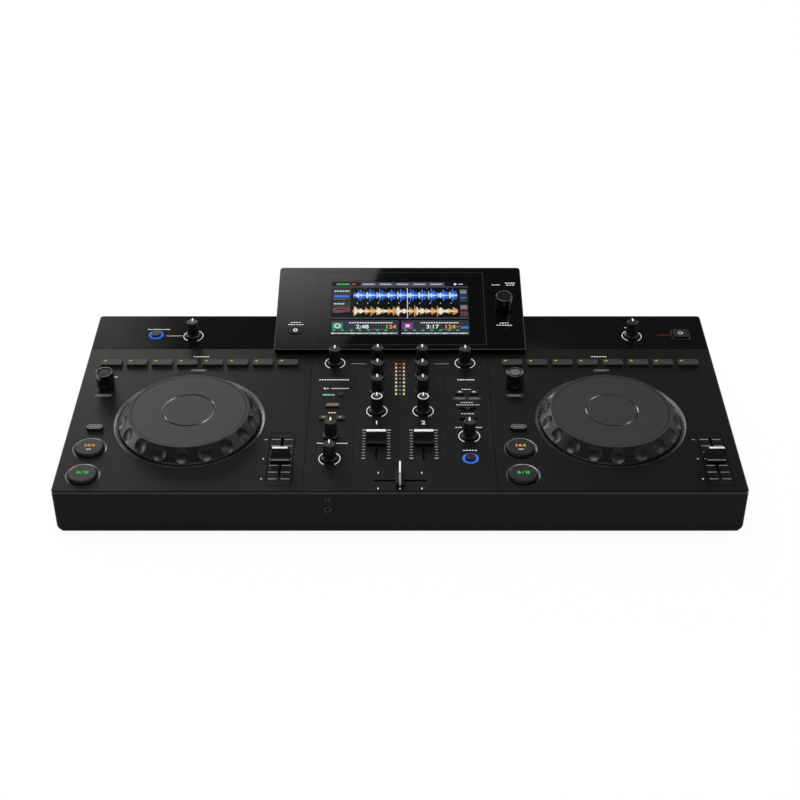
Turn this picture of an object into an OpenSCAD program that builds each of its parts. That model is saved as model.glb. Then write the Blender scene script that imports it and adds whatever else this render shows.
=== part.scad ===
// All-in-one DJ system: two decks with jog wheels, a two-channel mixer between them and a tilted display.
// Millimetres, +Z up, the front edge towards -Y, the origin under the middle of the whole outline.

/* [Case] */
// Width of the case
case_w = 650; // [630:1:700]
// Depth of the case from the front wall to the rear wall
case_d = 298; // [292:1:330]
// Height of the case from the tray's underside to the deck surface
case_h = 48; // [44:1:60]
// Thickness of the case walls
wall = 2.5; // [2:0.1:3.5]
// Thickness of the top panels
panel_t = 3; // [2.6:0.1:4]
// Corner radius of the case seen from above
corner_r = 4; // [3:0.5:8]
// Bevel along the front and side edges of the top panels
edge_bevel = 0.8; // [0.4:0.1:1.2]
// Height of the tray's rim
rim_h = 5.2; // [4:0.2:8]
// How far the tray's rim leans in along both sides
rim_lean = 5.6; // [3:0.2:8]
// Thickness of the tray's floor
floor_t = 2; // [1.5:0.1:3]
// Gap at the seams between neighbouring case pieces
seam = 0.4; // [0.3:0.05:0.7]
// Width of the case's rear corner returns beside the socket plate
rear_return = 14; // [10:1:20]
// Height of the rubber feet
foot_h = 7; // [4:0.5:12]
// Diameter of the rubber feet
foot_d = 24; // [16:1:30]

/* [Panels] */
// Width of the mixer panel between the two decks
mixer_w = 182; // [178:1:184]
// Depth of the gloss rear strip
strip_d = 63; // [60:0.5:66]
// Width of the ribs that carry the panels along their seams
rib_w = 8; // [6:0.5:10]
// Depth of those ribs
rib_h = 6; // [4:0.5:7]

/* [Jog wheels] */
// Radius of the round opening in the deck panel, as a share of the deck's width
well_share = 0.3162; // [0.31:0.0002:0.322]
// Gap between the jog wheel's foot and the edge of that opening
jog_gap = 5; // [4:0.5:7]
// Run of the jog wheel's slope, seen from above
jog_run = 10; // [8:0.5:12]
// Height of the jog wheel's top above the deck
jog_h = 13; // [11:0.5:16]
// Depth of the well's floor below the deck
well_depth = 6; // [5:0.5:7]
// Number of finger dimples round the slope
dimples = 18; // [12:1:20]
// Width of one finger dimple, as a share of their spacing
dimple_share = 0.666; // [0.5:0.002:0.7]
// Depth of one finger dimple
dimple_depth = 2; // [1:0.1:2.4]
// Radius of the ring groove on the jog wheel's top, as a share of that top
groove_share = 0.432; // [0.35:0.002:0.6]
// Width of that ring groove
groove_w = 2; // [1.2:0.1:2.4]
// Radius of the jog wheel's spindle
spindle_r = 4; // [3:0.5:6]

/* [Knobs] */
// Height of a knob above the panel
knob_h = 18.4; // [15:0.2:22]
// Radius of a knob's skirt
knob_skirt_r = 7.7; // [7:0.1:8.5]
// Radius of a knob's top
knob_top_r = 5.7; // [5:0.1:6.5]
// Number of grip grooves round a knob
knob_flutes = 12; // [8:1:16]
// Radius of the rotary encoders' caps
encoder_r = 9.25; // [8.5:0.25:10]
// Height of the rotary encoders' caps
encoder_h = 18; // [14:0.5:20]
// Radius of the control shafts
shaft_r = 3; // [2.5:0.1:3.2]

/* [Faders] */
// Travel of the tempo faders
tempo_travel = 60; // [56:1:64]
// Travel of the channel faders
channel_travel = 45; // [40:1:50]
// Travel of the crossfader
cross_travel = 45; // [40:1:48]
// Height of the fader caps
fader_cap_h = 13.3; // [11:0.1:16]
// Height of the crossfader's cap
cross_cap_h = 16.4; // [13:0.1:18]
// Length of the fader caps along their travel
fader_cap_l = 15; // [13:0.5:17]
// Width of the channel faders' caps
channel_cap_w = 19.5; // [16:0.5:22]
// Width of the tempo faders' caps at the foot
tempo_cap_w = 18.5; // [16:0.5:21]
// Width of the tempo faders' caps at the ridge
tempo_ridge_w = 15; // [12:0.5:16]
// Length of the crossfader's cap across its travel
cross_cap_l = 19; // [16:0.5:22]
// Width of the slots that the fader levers run in
slot_w = 2.3; // [2:0.1:3]

/* [Buttons] */
// Diameter of the play and cue buttons
play_d = 26; // [24:0.5:27]
// Diameter of the bevel round the play and cue buttons
play_bevel_d = 32.5; // [31.5:0.5:34]
// Gap between two performance pads
pad_gap = 5.1; // [4.5:0.1:7]
// Depth of one performance pad
pad_d = 9.5; // [8:0.5:11]
// Height of the performance pads above the deck
pad_h = 2.5; // [2:0.1:4]
// Diameter of the light rings round the microphone and effect buttons
light_ring_d = 15.6; // [15:0.2:17]
// Travel of the buttons
press = 1.2; // [0.8:0.1:1.4]
// Clearance between a button and its hole
button_gap = 0.4; // [0.3:0.05:0.6]

/* [Display] */
// Width of the display
disp_w = 263.6; // [260:0.2:270]
// Length of the display up its slope
disp_l = 129; // [126:0.5:134]
// Tilt of the display
disp_tilt = 10; // [8:0.5:14]
// How far the display's front edge stands over the decks
disp_over = 10; // [7:0.5:11]
// Height of the display's front edge above the deck
disp_lip = 6; // [5.8:0.1:9]
// Thickness of the display's cover glass
glass_t = 2; // [1.6:0.1:2.2]
// Thickness of the display at its rear edge, under the glass
disp_rear_t = 13; // [11:0.5:16]
// Width of the picture
lcd_w = 148.4; // [140:0.2:156]
// Height of the picture
lcd_h = 85.5; // [80:0.5:88]

/* [Sockets] */
// Radius of the headphone jack's bore
phones_bore_r = 1.8; // [1.75:0.05:1.9]
// Depth of the headphone jack's bore
phones_depth = 14; // [12:0.5:18]
// Radius of the microphone jack's bore
mic_bore_r = 3.25; // [3.2:0.05:3.4]
// Depth of the microphone jack's bore
mic_depth = 28; // [24:1:34]
// Depth of the headphone jack's axis below the deck
phones_drop = 22; // [20:0.5:24]
// Depth of the rear sockets' axes below the deck
rear_drop = 28; // [27.8:0.2:30]

/* [Hidden] */
$fn = 64;
fit = 0.05;          // radial clearance of a shaft in its bush
slide_gap = 0.4;     // clearance of a lever in its slot
hang = 0.3;          // gap between a button's flange and the panel above it
glue = 0.02;         // bond line between pieces that are pressed or glued together
lift = 0.7;          // gap between a knob or cap and the panel below it

// Levels
top = foot_h + case_h;
under = top - panel_t;
case_z = foot_h + rim_h + seam;
board_t = 1.6;
board_drop = 14;
board_top = under - board_drop;
switch_h = 4.3;
switch_w = 6;

// Widths and depths that the rows and columns of controls are spread over. The places below are written
// for a deck 234 wide, a mixer 182 wide and both 235 deep, and move with those sizes.
strip_y = case_d - strip_d;
deck_w = (case_w - mixer_w)/2;
deck_x = (case_w + mixer_w)/4 - 0.5;
function row(y) = y*strip_y/235;
function deck_col(x) = x*deck_w/234;
function mixer_col(x) = x*mixer_w/182;

// The display's own frame: X across, Y up the slope, Z out of the glass
disp_y = strip_y - disp_over;
function slope(s, n) = [disp_y + s*cos(disp_tilt) - n*sin(disp_tilt),
                        top + disp_lip + s*sin(disp_tilt) + n*cos(disp_tilt)];
overall_d = slope(disp_l, -glass_t)[0];

// Places of the controls: X from the middle, or from the deck's centre line, Y from the front edge
side_x = [-deck_x, deck_x];
jog_y = row(110);
transport_dx = deck_col(-91.4);
play_y = row(24.6);
cue_y = row(65);
shift_y = row(97);
shift_size = [16.5, 8.5];
loop_dx = deck_col(-91.2);
loop_y = row(168);
tempo_dx = deck_col(93.5);
tempo_y = row(49.3);
tempo_frame = [25, tempo_travel + 22];
pad_y = row(207.7);
pads = 8;
pad_pitch = deck_col(26.1);
pad_w = pad_pitch - pad_gap;
channel_x = mixer_col(23);
channel_y = row(72.3);
channel_rest = 4;
cross_y = row(16.4);
cross_cap_w = 6.5;
outer_x = mixer_col(67.4);
meter_x = 4;
meter_rows = 9;
meter_pitch = row(6.6);
meter_y = row(154.5);
meter_led = [2.4, meter_pitch - 2];
mic_ring_x = -case_w/2 + 65.2;
fx_ring_y = row(49.4);
strip_mid = strip_y + 26;
strip_knob_y = strip_y + 24.5;
power_x = case_w/2 - 26.5;
power_face = 14.5;
power_frame = 19.5;
phones_lamp = [-outer_x - 6.8, row(153)];
phones_lamp_size = [7.5, 2.2];
fx_switch_y = [row(128.8), row(111.3)];
fx_pocket = [17.5, 5];
fx_pocket_depth = 1.6;
fx_travel = 8;
fx_knob = [5, 3.8, 2.6];

KNOBS = [
    ["trim_knob_1", -outer_x, row(209)], ["trim_knob_2", outer_x, row(209)],
    ["high_knob_1", -channel_x, row(211)], ["high_knob_2", channel_x, row(211)],
    ["mid_knob_1", -channel_x, row(184.3)], ["mid_knob_2", channel_x, row(184.3)],
    ["low_knob_1", -channel_x, row(157.4)], ["low_knob_2", channel_x, row(157.4)],
    ["filter_knob_1", -channel_x, row(125.7)], ["filter_knob_2", channel_x, row(125.7)],
    ["phones_mix_knob", -outer_x, row(85)], ["phones_level_knob", -outer_x, row(49.5)],
    ["fx_depth_knob", outer_x, row(84.7)],
    ["mic_level_knob", -case_w/2 + 105, strip_knob_y], ["master_level_knob", case_w/2 - 78.3, strip_knob_y]
];
LOOPS = [["loop_encoder_left", -deck_x + loop_dx, loop_y], ["loop_encoder_right", deck_x + loop_dx, loop_y]];
menu_x = disp_w/2 - 20.8;
browse_at = [menu_x, 63.8];

// Small rectangular and round buttons: place, then width and depth
PHONES_CUE = [[-outer_x, row(134.4), 14, 6], [-outer_x - 8.2, row(113.5), 8.7, 6],
              [-outer_x + 8.2, row(113.5), 8.7, 6]];
BEATS = [[outer_x - 7.2, row(156), 9, 6], [outer_x + 7.2, row(156), 9, 6]];
pair_at = [-outer_x + 7.9, row(153)];
pair_d = 6;
DISPLAY_BUTTONS = [[menu_x - 7.4, 91.4, 14.5, 9.5], [menu_x + 8.7, 92.5, 9.5, 9.5],
                   [menu_x - 0.4, 27.8, 9.6, 9.6], [-menu_x + 0.3, 28.9, 16, 11]];
display_press = 0.6;
display_button_h = 0.8;
display_board_n = -glass_t - 3.1;
display_board_t = 1.2;

// Rear and front sockets
phones_x = -outer_x - 0.4;
mic_x = -case_w/2 + 95;
usb_x = [-150, -124];
usb_c_x = -100;
rca_x = [140, 158];
dc_x = case_w/2 - 75;
rear_t = 2;
vents = 24;
vent_x = -62;
vent_pitch = 7;
vent = [3, 14];
phones_z = top - phones_drop;
socket_z = top - rear_drop;

// Board outlines, as corner, size and the places of their posts from each corner
post_r = 3.5;
post_in = 9;
board_edge = wall + 10;
board_in = 7;
deck_board_y = 8;
mixer_board_y = 11;
board_end = strip_y - rib_w/2 - board_in;
mixer_board = [-mixer_w/2 + board_in, mixer_board_y, mixer_w - 2*board_in, board_end - mixer_board_y];
deck_board_w = deck_w - board_edge - board_in;
DECK_BOARDS = [for (x = [-case_w/2 + board_edge, mixer_w/2 + board_in])
               [x, deck_board_y, deck_board_w, board_end - deck_board_y]];
strip_board_y = strip_y + 11;
strip_board_d = strip_d - 35;
STRIP_BOARDS = [[-case_w/2 + 41, strip_board_y, 80, strip_board_d],
                [case_w/2 - 95, strip_board_y, 84, strip_board_d]];
main_board = [-mixer_w/3, row(32), 2*mixer_w/3, row(166)];
main_board_z = foot_h + floor_t + 6;
heat_sink = [40, 40, 10];

// Case screws: bosses that stand against the front and side walls
boss_r = 5;
boss_h = 20;
screw_r = 1.5;
screw_head_r = 3.2;
screw_head_h = 2;
boss_in = rim_lean + 6.4;
web_t = 2;
SIDE_BOSSES = [for (x = [-1, 1], y = [boss_in, case_d/2, case_d - boss_in]) [x*(case_w/2 - boss_in), y]];
FRONT_BOSSES = [for (x = [-case_w/4, case_w/4]) [x, boss_in]];
BOSSES = concat(SIDE_BOSSES, FRONT_BOSSES);
foot_in = 34;
FEET = [for (x = [-1, 1], y = [foot_in, case_d - foot_in]) [x*(case_w/2 - foot_in), y]];

// Shared shapes

// Sets a shape drawn from the front edge into the part's frame
module place() {
    translate([0, -overall_d/2, 0]) children();
}

// Sets a shape drawn on the display's face into the frame of the case
module on_display() {
    translate([0, disp_y, top + disp_lip]) rotate([disp_tilt, 0, 0]) children();
}

// Rectangle with round corners about its centre, a pill where the radius is half its width
module rounded(size, r) {
    q = min(r, min(size)/2 - 0.01);
    square([size.x - 2*q, size.y], center = true);
    square([size.x, size.y - 2*q], center = true);
    for (x = [-1, 1], y = [-1, 1])
        translate([x*(size.x/2 - q), y*(size.y/2 - q)]) circle(q);
}

// Block with round upright edges that stands on z
module rounded_block(at, size, r, z, h) {
    translate([at.x, at.y, z]) linear_extrude(h) rounded(size, r);
}

// Upright cylinder
module post(at, r, z, h) {
    translate([at.x, at.y, z]) cylinder(r = r, h = h);
}

module case_plan(inset = 0) {
    translate([0, case_d/2]) rounded([case_w - 2*inset, case_d - 2*inset], max(corner_r - inset, 0.5));
}

// One flat top panel between two X and two Y lines, bevelled where it meets the case's front and sides
module flat_panel(x0, x1, y0, y1) {
    difference() {
        translate([0, 0, under]) linear_extrude(panel_t) intersection() {
            case_plan();
            translate([x0, y0]) square([x1 - x0, y1 - y0]);
        }
        translate([0, 0, top]) rotate([45, 0, 0])
            cube([case_w + 1, edge_bevel*sqrt(2), edge_bevel*sqrt(2)], center = true);
        for (x = [-1, 1]) translate([x*case_w/2, case_d/2, top]) rotate([0, 45, 0])
            cube([edge_bevel*sqrt(2), case_d + 1, edge_bevel*sqrt(2)], center = true);
    }
}

// Through hole for a button or slot in a top panel
module panel_hole(at, size, r) {
    rounded_block(at, size, r, under - 1, panel_t + 2);
}

module panel_bore(at, r) {
    post(at, r, under - 1, panel_t + 2);
}

// Base: tray, walls, panels

module base_tray() color("#1c1c1c") place() difference() {
    intersection() {
        translate([0, 0, foot_h]) linear_extrude(rim_h) case_plan();
        translate([0, case_d, foot_h]) rotate([90, 0, 0]) linear_extrude(case_d)
            polygon([[-case_w/2 + rim_lean, 0], [case_w/2 - rim_lean, 0],
                     [case_w/2, rim_h], [-case_w/2, rim_h]]);
    }
    translate([-case_w/2 + rim_lean + wall, wall, foot_h + floor_t])
        cube([case_w - 2*rim_lean - 2*wall, case_d - 2*wall, rim_h]);
    for (p = BOSSES) {
        post(p, screw_r + 0.2, foot_h - 1, rim_h + floor_t);
        post(p, boss_r + 0.3, foot_h + floor_t, rim_h);
    }
    for (p = FEET) post(p, foot_d/4, foot_h - 1, floor_t/2 + 1);
}

module upper_case() color("#1d1d1d") place() difference() {
    union() {
        translate([0, 0, case_z]) linear_extrude(under - case_z) difference() {
            case_plan();
            case_plan(wall);
        }
        // Ribs under the panel seams
        translate([-case_w/2 + wall/2, strip_y - rib_w/2, under - rib_h]) cube([case_w - wall, rib_w, rib_h]);
        for (x = [-1, 1])
            translate([x*mixer_w/2 - rib_w/2, wall/2, under - rib_h]) cube([rib_w, strip_y - wall, rib_h]);
        // Screw bosses and the webs that tie them to the walls
        for (p = BOSSES) post(p, boss_r, foot_h + floor_t, boss_h);
        for (p = SIDE_BOSSES) translate([p.x + sign(p.x)*boss_in/2, p.y, (case_z + foot_h + floor_t + boss_h)/2])
            cube([boss_in - wall, web_t, foot_h + floor_t + boss_h - case_z], center = true);
        for (p = FRONT_BOSSES) translate([p.x - web_t/2, wall/2, case_z])
            cube([web_t, boss_in - wall/2, foot_h + floor_t + boss_h - case_z]);
    }
    for (p = BOSSES) post(p, screw_r + fit, foot_h, boss_h - 2);
    // Open rear for the socket plate
    translate([-case_w/2 + rear_return, case_d - wall - 1, 0])
        cube([case_w - 2*rear_return, wall + 2, top]);
    // Headphone jack's hole
    translate([phones_x, -1, phones_z]) rotate([-90, 0, 0]) cylinder(r = phones_ring_r + 0.15, h = wall + 2);
}

phones_ring_r = 3.5;
phones_block = 12;
mic_barrel_r = 6.5;
rca_r = 4.15;
dc_r = 5.5;
usb_shell = [14.5, 7];
usb_c_shell = [10.2, 4.6];

// Cylinder that lies along Y, from the rear face inwards
module rear_bore(x, r, y, l) {
    translate([x, y, socket_z]) rotate([-90, 0, 0]) cylinder(r = r, h = l);
}

// Block that lies along Y with round edges
module rear_block(x, size, r, y, l) {
    translate([x, y + l, socket_z]) rotate([90, 0, 0]) linear_extrude(l) rounded(size, r);
}

module rear_panel() color("#202020") place() difference() {
    translate([-case_w/2 + rear_return + seam, case_d - rear_t, case_z])
        cube([case_w - 2*rear_return - 2*seam, rear_t, under - case_z - seam]);
    rear_bore(mic_x, mic_barrel_r + 0.15, case_d - rear_t - 1, rear_t + 2);
    for (x = rca_x) rear_bore(x, rca_r + 0.15, case_d - rear_t - 1, rear_t + 2);
    rear_bore(dc_x, dc_r + 0.15, case_d - rear_t - 1, rear_t + 2);
    for (x = usb_x) rear_block(x, usb_shell + [0.3, 0.3], 0.6, case_d - rear_t - 1, rear_t + 2);
    rear_block(usb_c_x, usb_c_shell + [0.3, 0.3], 2.2, case_d - rear_t - 1, rear_t + 2);
    for (i = [0:vents - 1]) rear_block(vent_x + i*vent_pitch, vent, vent.x/2, case_d - rear_t - 1, rear_t + 2);
}

// Holes of one deck's panel, about the deck's centre line at x
module deck_holes(x) {
    panel_bore([x, jog_y], well_r);
    for (y = [play_y, cue_y]) translate([x + transport_dx, y, top]) rotate_extrude()
        polygon([[0, -panel_t - 1], [play_hole_r, -panel_t - 1], [play_hole_r, -panel_t/2],
                 [play_bevel_d/2, 0], [play_bevel_d/2, 1], [0, 1]]);
    panel_hole([x + transport_dx, shift_y], shift_size + 2*[button_gap, button_gap], shift_size.y/2 + button_gap);
    panel_bore([x + loop_dx, loop_y], shaft_r + 0.6);
    panel_hole([x + tempo_dx, tempo_y], [slot_w, tempo_travel + lever_l + 2], slot_w/2);
    for (i = [0:pads - 1]) panel_hole([x + pad_x(i), pad_y], [pad_w, pad_d] + 2*[button_gap, button_gap], 1.4);
    // Engraved frame round the tempo fader
    translate([0, 0, top - 0.4]) linear_extrude(1) difference() {
        translate([x + tempo_dx, tempo_y]) rounded(tempo_frame, 3.5);
        translate([x + tempo_dx, tempo_y]) rounded(tempo_frame - [2, 2], 2.5);
    }
}

play_hole_r = play_d/2 + 1.2;
function pad_x(i) = (i - (pads - 1)/2)*pad_pitch;
lever_l = 4;
lever_w = slot_w - 2*slide_gap;

module deck_panel_left() color("#2b2b2b") place() difference() {
    flat_panel(-case_w/2, -mixer_w/2 - seam/2, 0, strip_y - seam/2);
    deck_holes(side_x[0]);
}

module deck_panel_right() color("#2b2b2b") place() difference() {
    flat_panel(mixer_w/2 + seam/2, case_w/2, 0, strip_y - seam/2);
    deck_holes(side_x[1]);
}

module mixer_panel() color("#2a2a2a") place() difference() {
    flat_panel(-mixer_w/2 + seam/2, mixer_w/2 - seam/2, 0, strip_y - seam/2);
    for (k = KNOBS) if (k[2] < strip_y) panel_bore([k[1], k[2]], shaft_r + 0.6);
    for (x = [-1, 1])
        panel_hole([x*channel_x, channel_y], [slot_w, channel_travel + lever_l + 2], slot_w/2);
    panel_hole([0, cross_y], [cross_travel + lever_l + 2, slot_w], slot_w/2);
    for (b = concat(PHONES_CUE, BEATS)) panel_hole(b, [b[2], b[3]] + 2*[button_gap, button_gap], 1);
    panel_bore(pair_at, pair_d/2 + button_gap);
    panel_bore([outer_x, fx_ring_y], light_ring_d/2 + 0.1);
    panel_hole(phones_lamp, phones_lamp_size + [0.2, 0.2], 0.6);
    for (i = [0:meter_rows - 1], x = [-1, 1])
        panel_hole([x*meter_x, meter_y + i*meter_pitch], meter_led + [0.2, 0.2], 0.5);
    for (y = fx_switch_y) {
        rounded_block([outer_x, y], fx_pocket, 1, top - fx_pocket_depth, panel_t);
        panel_hole([outer_x, y], [fx_travel + lever_l + 1, slot_w], slot_w/2);
    }
}

module rear_gloss_panel() color("#131313") place() difference() {
    union() {
        flat_panel(-case_w/2, case_w/2, strip_y + seam/2, case_d);
        rounded_block([power_x, strip_mid], [power_frame, power_frame], 3, under, panel_t + 0.8);
    }
    for (k = KNOBS) if (k[2] > strip_y) panel_bore([k[1], k[2]], shaft_r + 0.6);
    panel_bore([mic_ring_x, strip_mid], light_ring_d/2 + 0.1);
    panel_hole([power_x, strip_mid], [power_face, power_face] + 2*[button_gap, button_gap], 2);
}

// Display

// Solid wedge under the glass, cut to the round corners of the face
module display_wedge() {
    front = slope(0, -glass_t);
    rear = slope(disp_l, -glass_t);
    intersection() {
        translate([disp_w/2, 0, 0]) rotate([90, 0, -90]) linear_extrude(disp_w)
            polygon([for (p = [front, rear, [rear[0], rear[1] - disp_rear_t], [case_d, top], [front[0], top]])
                     [-p[0], p[1]]]);
        on_display() translate([0, disp_l/2, -case_h]) linear_extrude(case_h)
            rounded([disp_w, disp_l], corner_r);
    }
}

// Room inside the wedge for the picture panel and the boards
module display_cavity() {
    skin = 2.2;
    near = slope(14, 1);
    far = slope(disp_l - 2*skin, 1);
    low = slope(disp_l - 2*skin, -glass_t)[1] - disp_rear_t + 2*skin;
    translate([disp_w/2 - 2*skin, 0, 0]) rotate([90, 0, -90]) linear_extrude(disp_w - 4*skin)
        polygon([for (p = [near, far, [far[0], low], [case_d, top + skin], [near[0], top + skin]])
                 [-p[0], p[1]]]);
}

// Places of the bosses under the display's two small boards
DISPLAY_BOSSES = [[-menu_x, 48], [-menu_x, 96], [menu_x - 14, 64], [menu_x - 14, 104]];
display_board = [32, 92];
display_board_y = 64;

module display_housing() color("#161616") place() {
    difference() {
        display_wedge();
        display_cavity();
    }
    intersection() {
        display_wedge();
        on_display() for (p = DISPLAY_BOSSES)
            post(p, 3, -case_h, case_h + display_board_n - display_board_t);
    }
}

module display_glass() color("#0f0f10") place() on_display() difference() {
    translate([0, disp_l/2, -glass_t]) linear_extrude(glass_t) rounded([disp_w, disp_l], corner_r);
    post(browse_at, shaft_r + 0.6, -glass_t - 1, glass_t + 2);
    for (b = DISPLAY_BUTTONS)
        rounded_block(b, [b[2], b[3]] + 2*[button_gap, button_gap], b[3]/2 + button_gap,
                      -glass_t - 1, glass_t + 2);
}

lcd_t = 3.6;
lcd_frame = 5;
lcd_y = 63.2;

module lcd_panel() color("#20242c") place() on_display()
    translate([-lcd_w/2 - lcd_frame, lcd_y - lcd_h/2 - lcd_frame, -glass_t - lcd_t])
        cube([lcd_w + 2*lcd_frame, lcd_h + 2*lcd_frame, lcd_t]);

// Feet and screws

module rubber_feet() color("#151515") place() for (p = FEET) translate([p.x, p.y, 0]) {
    rotate_extrude() polygon([[0, 0.6], [foot_d/2 - 4, 0.6], [foot_d/2 - 3.4, 0], [foot_d/2 - 1, 0],
                              [foot_d/2, 1], [foot_d/2 - 0.8, foot_h], [foot_d/4 - fit, foot_h],
                              [foot_d/4 - fit, foot_h + floor_t/2], [0, foot_h + floor_t/2]]);
}

module case_screws() color("#8c8f92") place() for (p = BOSSES) difference() {
    union() {
        post(p, screw_head_r, foot_h - screw_head_h, screw_head_h);
        post(p, screw_r, foot_h - 0.1, boss_h - 4);
    }
    translate([p.x, p.y, foot_h - screw_head_h - 0.1]) cylinder(r = 1.3, h = 1.3, $fn = 6);
}

// Boards on spacers, with the push switches under the buttons

module board(b, z) {
    translate([b[0], b[1], z]) cube([b[2], b[3], board_t]);
    for (x = [b[0] + post_in, b[0] + b[2] - post_in], y = [b[1] + post_in, b[1] + b[3] - post_in])
        post([x, y], post_r, foot_h + floor_t, z - foot_h - floor_t + board_t/2);
}

module push_switch(at) {
    translate([at.x - switch_w/2, at.y - switch_w/2, board_top - 0.2]) cube([switch_w, switch_w, switch_h + 0.2 - 1]);
    post(at, 1.7, board_top, switch_h);
}

module circuit_boards() color("#1f4d2e") place() {
    difference() {
        board(mixer_board, board_top - board_t);
        // Room for the headphone jack
        translate([phones_x - phones_block/2 - 1, 0, board_top - 2*board_t])
            cube([phones_block + 2, wall + phones_depth, 3*board_t]);
    }
    for (b = concat(DECK_BOARDS, STRIP_BOARDS)) board(b, board_top - board_t);
    board(main_board, main_board_z);
    translate([-heat_sink.x/2, main_board[1] + (main_board[3] - heat_sink.y)/2, main_board_z + board_t/2])
        cube(heat_sink);
    for (x = side_x) {
        for (y = [play_y, cue_y, shift_y]) push_switch([x + transport_dx, y]);
        for (i = [0:pads - 1]) push_switch([x + pad_x(i), pad_y]);
    }
    for (b = concat(PHONES_CUE, BEATS)) push_switch(b);
    push_switch(pair_at);
    push_switch([outer_x, fx_ring_y]);
    push_switch([mic_ring_x, strip_mid]);
    push_switch([power_x, strip_mid]);
    on_display() for (x = [-1, 1])
        translate([x*menu_x - display_board.x/2, display_board_y - display_board.y/2,
                   display_board_n - display_board_t]) cube([display_board.x, display_board.y, display_board_t]);
}

// Potentiometers and encoders: body on the board, bush up to the panel

pot_w = 11;
pot_h = 6.5;
bush_r = shaft_r + 1.4;
shaft_in = 3;

module pot(at) difference() {
    union() {
        translate([at.x - pot_w/2, at.y - pot_w/2, board_top]) cube([pot_w, pot_w, pot_h]);
        post(at, bush_r, board_top + 1, board_drop - 1 - hang);
    }
    post(at, shaft_r + fit, board_top + shaft_in - 1, board_drop);
}

module potentiometers() color("#5c6066") place() {
    for (k = concat(KNOBS, LOOPS)) pot([k[1], k[2]]);
    on_display() difference() {
        translate([browse_at.x - pot_w/2, browse_at.y - pot_w/2, display_board_n])
            cube([pot_w, pot_w, -glass_t - display_board_n]);
        post(browse_at, shaft_r + fit, display_board_n + 0.6, case_h);
    }
}

// Knob: a fluted cap with a pointer slot, on its own steel shaft. Drawn on z = 0, the panel's surface
module knob_cap(h, skirt_r, top_r, flutes) {
    grip_r = top_r + 0.8;
    difference() {
        rotate_extrude() polygon([[0, lift], [skirt_r, lift], [skirt_r, lift + 1.4], [grip_r, lift + 2.8],
                                  [top_r, h - 0.5], [top_r - 0.5, h], [0, h]]);
        for (i = [0:flutes - 1]) rotate(i*360/flutes + 180/flutes) translate([grip_r + 0.35, 0, lift + 2.8])
            cylinder(r = 0.75, h = h);
        translate([-0.6, top_r - 4.6, h - 0.4]) cube([1.2, 5, 1]);
        cylinder(r = shaft_r, h = h - 4);
    }
}

module shaft(bottom, h) {
    color("#a7abb0") translate([0, 0, bottom]) cylinder(r = shaft_r - glue, h = h - glue - bottom);
}

module knob(k) place() translate([k[1], k[2], top]) {
    color("#232323") knob_cap(knob_h, knob_skirt_r, knob_top_r, knob_flutes);
    shaft(-panel_t - board_drop + shaft_in, knob_h - 4);
}

// Encoder cap: smooth drum over a narrower foot, with a round rim and a ring groove in its top
module encoder_cap() difference() {
    foot_r = encoder_r - 1.6;
    rim = encoder_h - rim_r;
    union() {
        rotate_extrude() polygon([[0, lift], [foot_r, lift], [foot_r, encoder_foot], [encoder_r - 0.3, encoder_foot],
                                  [encoder_r, encoder_foot + 0.3], [encoder_r - 0.5, rim], [encoder_r - 2.3, rim],
                                  [encoder_r - 2.3, encoder_h - 1.4], [encoder_r - 3.4, encoder_h - 1.4],
                                  [encoder_r - 3.8, encoder_h - 0.4], [0, encoder_h - 0.4]]);
        rotate_extrude() translate([encoder_r - 1.4, rim]) circle(rim_r);
    }
    cylinder(r = shaft_r, h = encoder_h - 4);
}

encoder_foot = 2.4;
rim_r = 0.8;

module loop_encoder(e) place() translate([e[1], e[2], top]) {
    color("#1b1b1b") encoder_cap();
    shaft(-panel_t - board_drop + shaft_in, encoder_h - 4);
}

module browse_encoder() place() on_display() translate([browse_at.x, browse_at.y, 0]) {
    color("#1b1b1b") encoder_cap();
    shaft(display_board_n + 1, encoder_h - 4);
}

// Faders

fader_body_w = 9;
fader_body_h = 9;
fader_end = 10;
lever_in = 5;

// Fader body on the board, along Y, open along its slot
module fader_body(at, travel, turn) translate([at.x, at.y, board_top]) rotate(turn) difference() {
    translate([-fader_body_w/2, -travel/2 - fader_end, 0]) cube([fader_body_w, travel + 2*fader_end, fader_body_h]);
    translate([-slot_w/2, -travel/2 - lever_l/2 - 1, 1.5]) cube([slot_w, travel + lever_l + 2, fader_body_h]);
}

module fader_units() color("#73777c") place() {
    for (x = side_x) fader_body([x + tempo_dx, tempo_y], tempo_travel, 0);
    for (x = [-1, 1]) fader_body([x*channel_x, channel_y], channel_travel, 0);
    fader_body([0, cross_y], cross_travel, 90);
    for (y = fx_switch_y) fader_body([outer_x, y], fx_travel, 90);
}

// Lever from the cap down into the fader body
module lever() {
    z = board_drop + panel_t - fader_body_h + lever_in;
    translate([-lever_w/2, -lever_l/2, -z]) cube([lever_w, lever_l, z + lift + 1]);
}

// Cap with a ridge across its middle and hollow finger slopes before and behind it.
// The slopes are arcs through the ridge's edge and the foot's edge.
module saddle_cap(w, ridge_w, l, h) {
    ridge = 1.5;
    foot = 3.6;
    slope_r = h;
    chord = [l/2 - ridge, foot - h];
    mid = [(l/2 + ridge)/2, (foot + h)/2];
    reach = sqrt(max(slope_r*slope_r - chord*chord/4, 0));
    out = [-chord.y, chord.x]/norm(chord);
    intersection() {
        difference() {
            translate([-w/2, -l/2, lift]) cube([w, l, h - lift]);
            for (s = [-1, 1]) translate([0, s*(mid.x + out.x*reach), mid.y + out.y*reach])
                rotate([0, 90, 0]) cylinder(r = slope_r, h = w + 2, center = true);
        }
        translate([0, l/2 + 1, 0]) rotate([90, 0, 0]) linear_extrude(l + 2)
            polygon([[-w/2, 0], [w/2, 0], [w/2, foot], [ridge_w/2, h], [-ridge_w/2, h], [-w/2, foot]]);
    }
}

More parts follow.
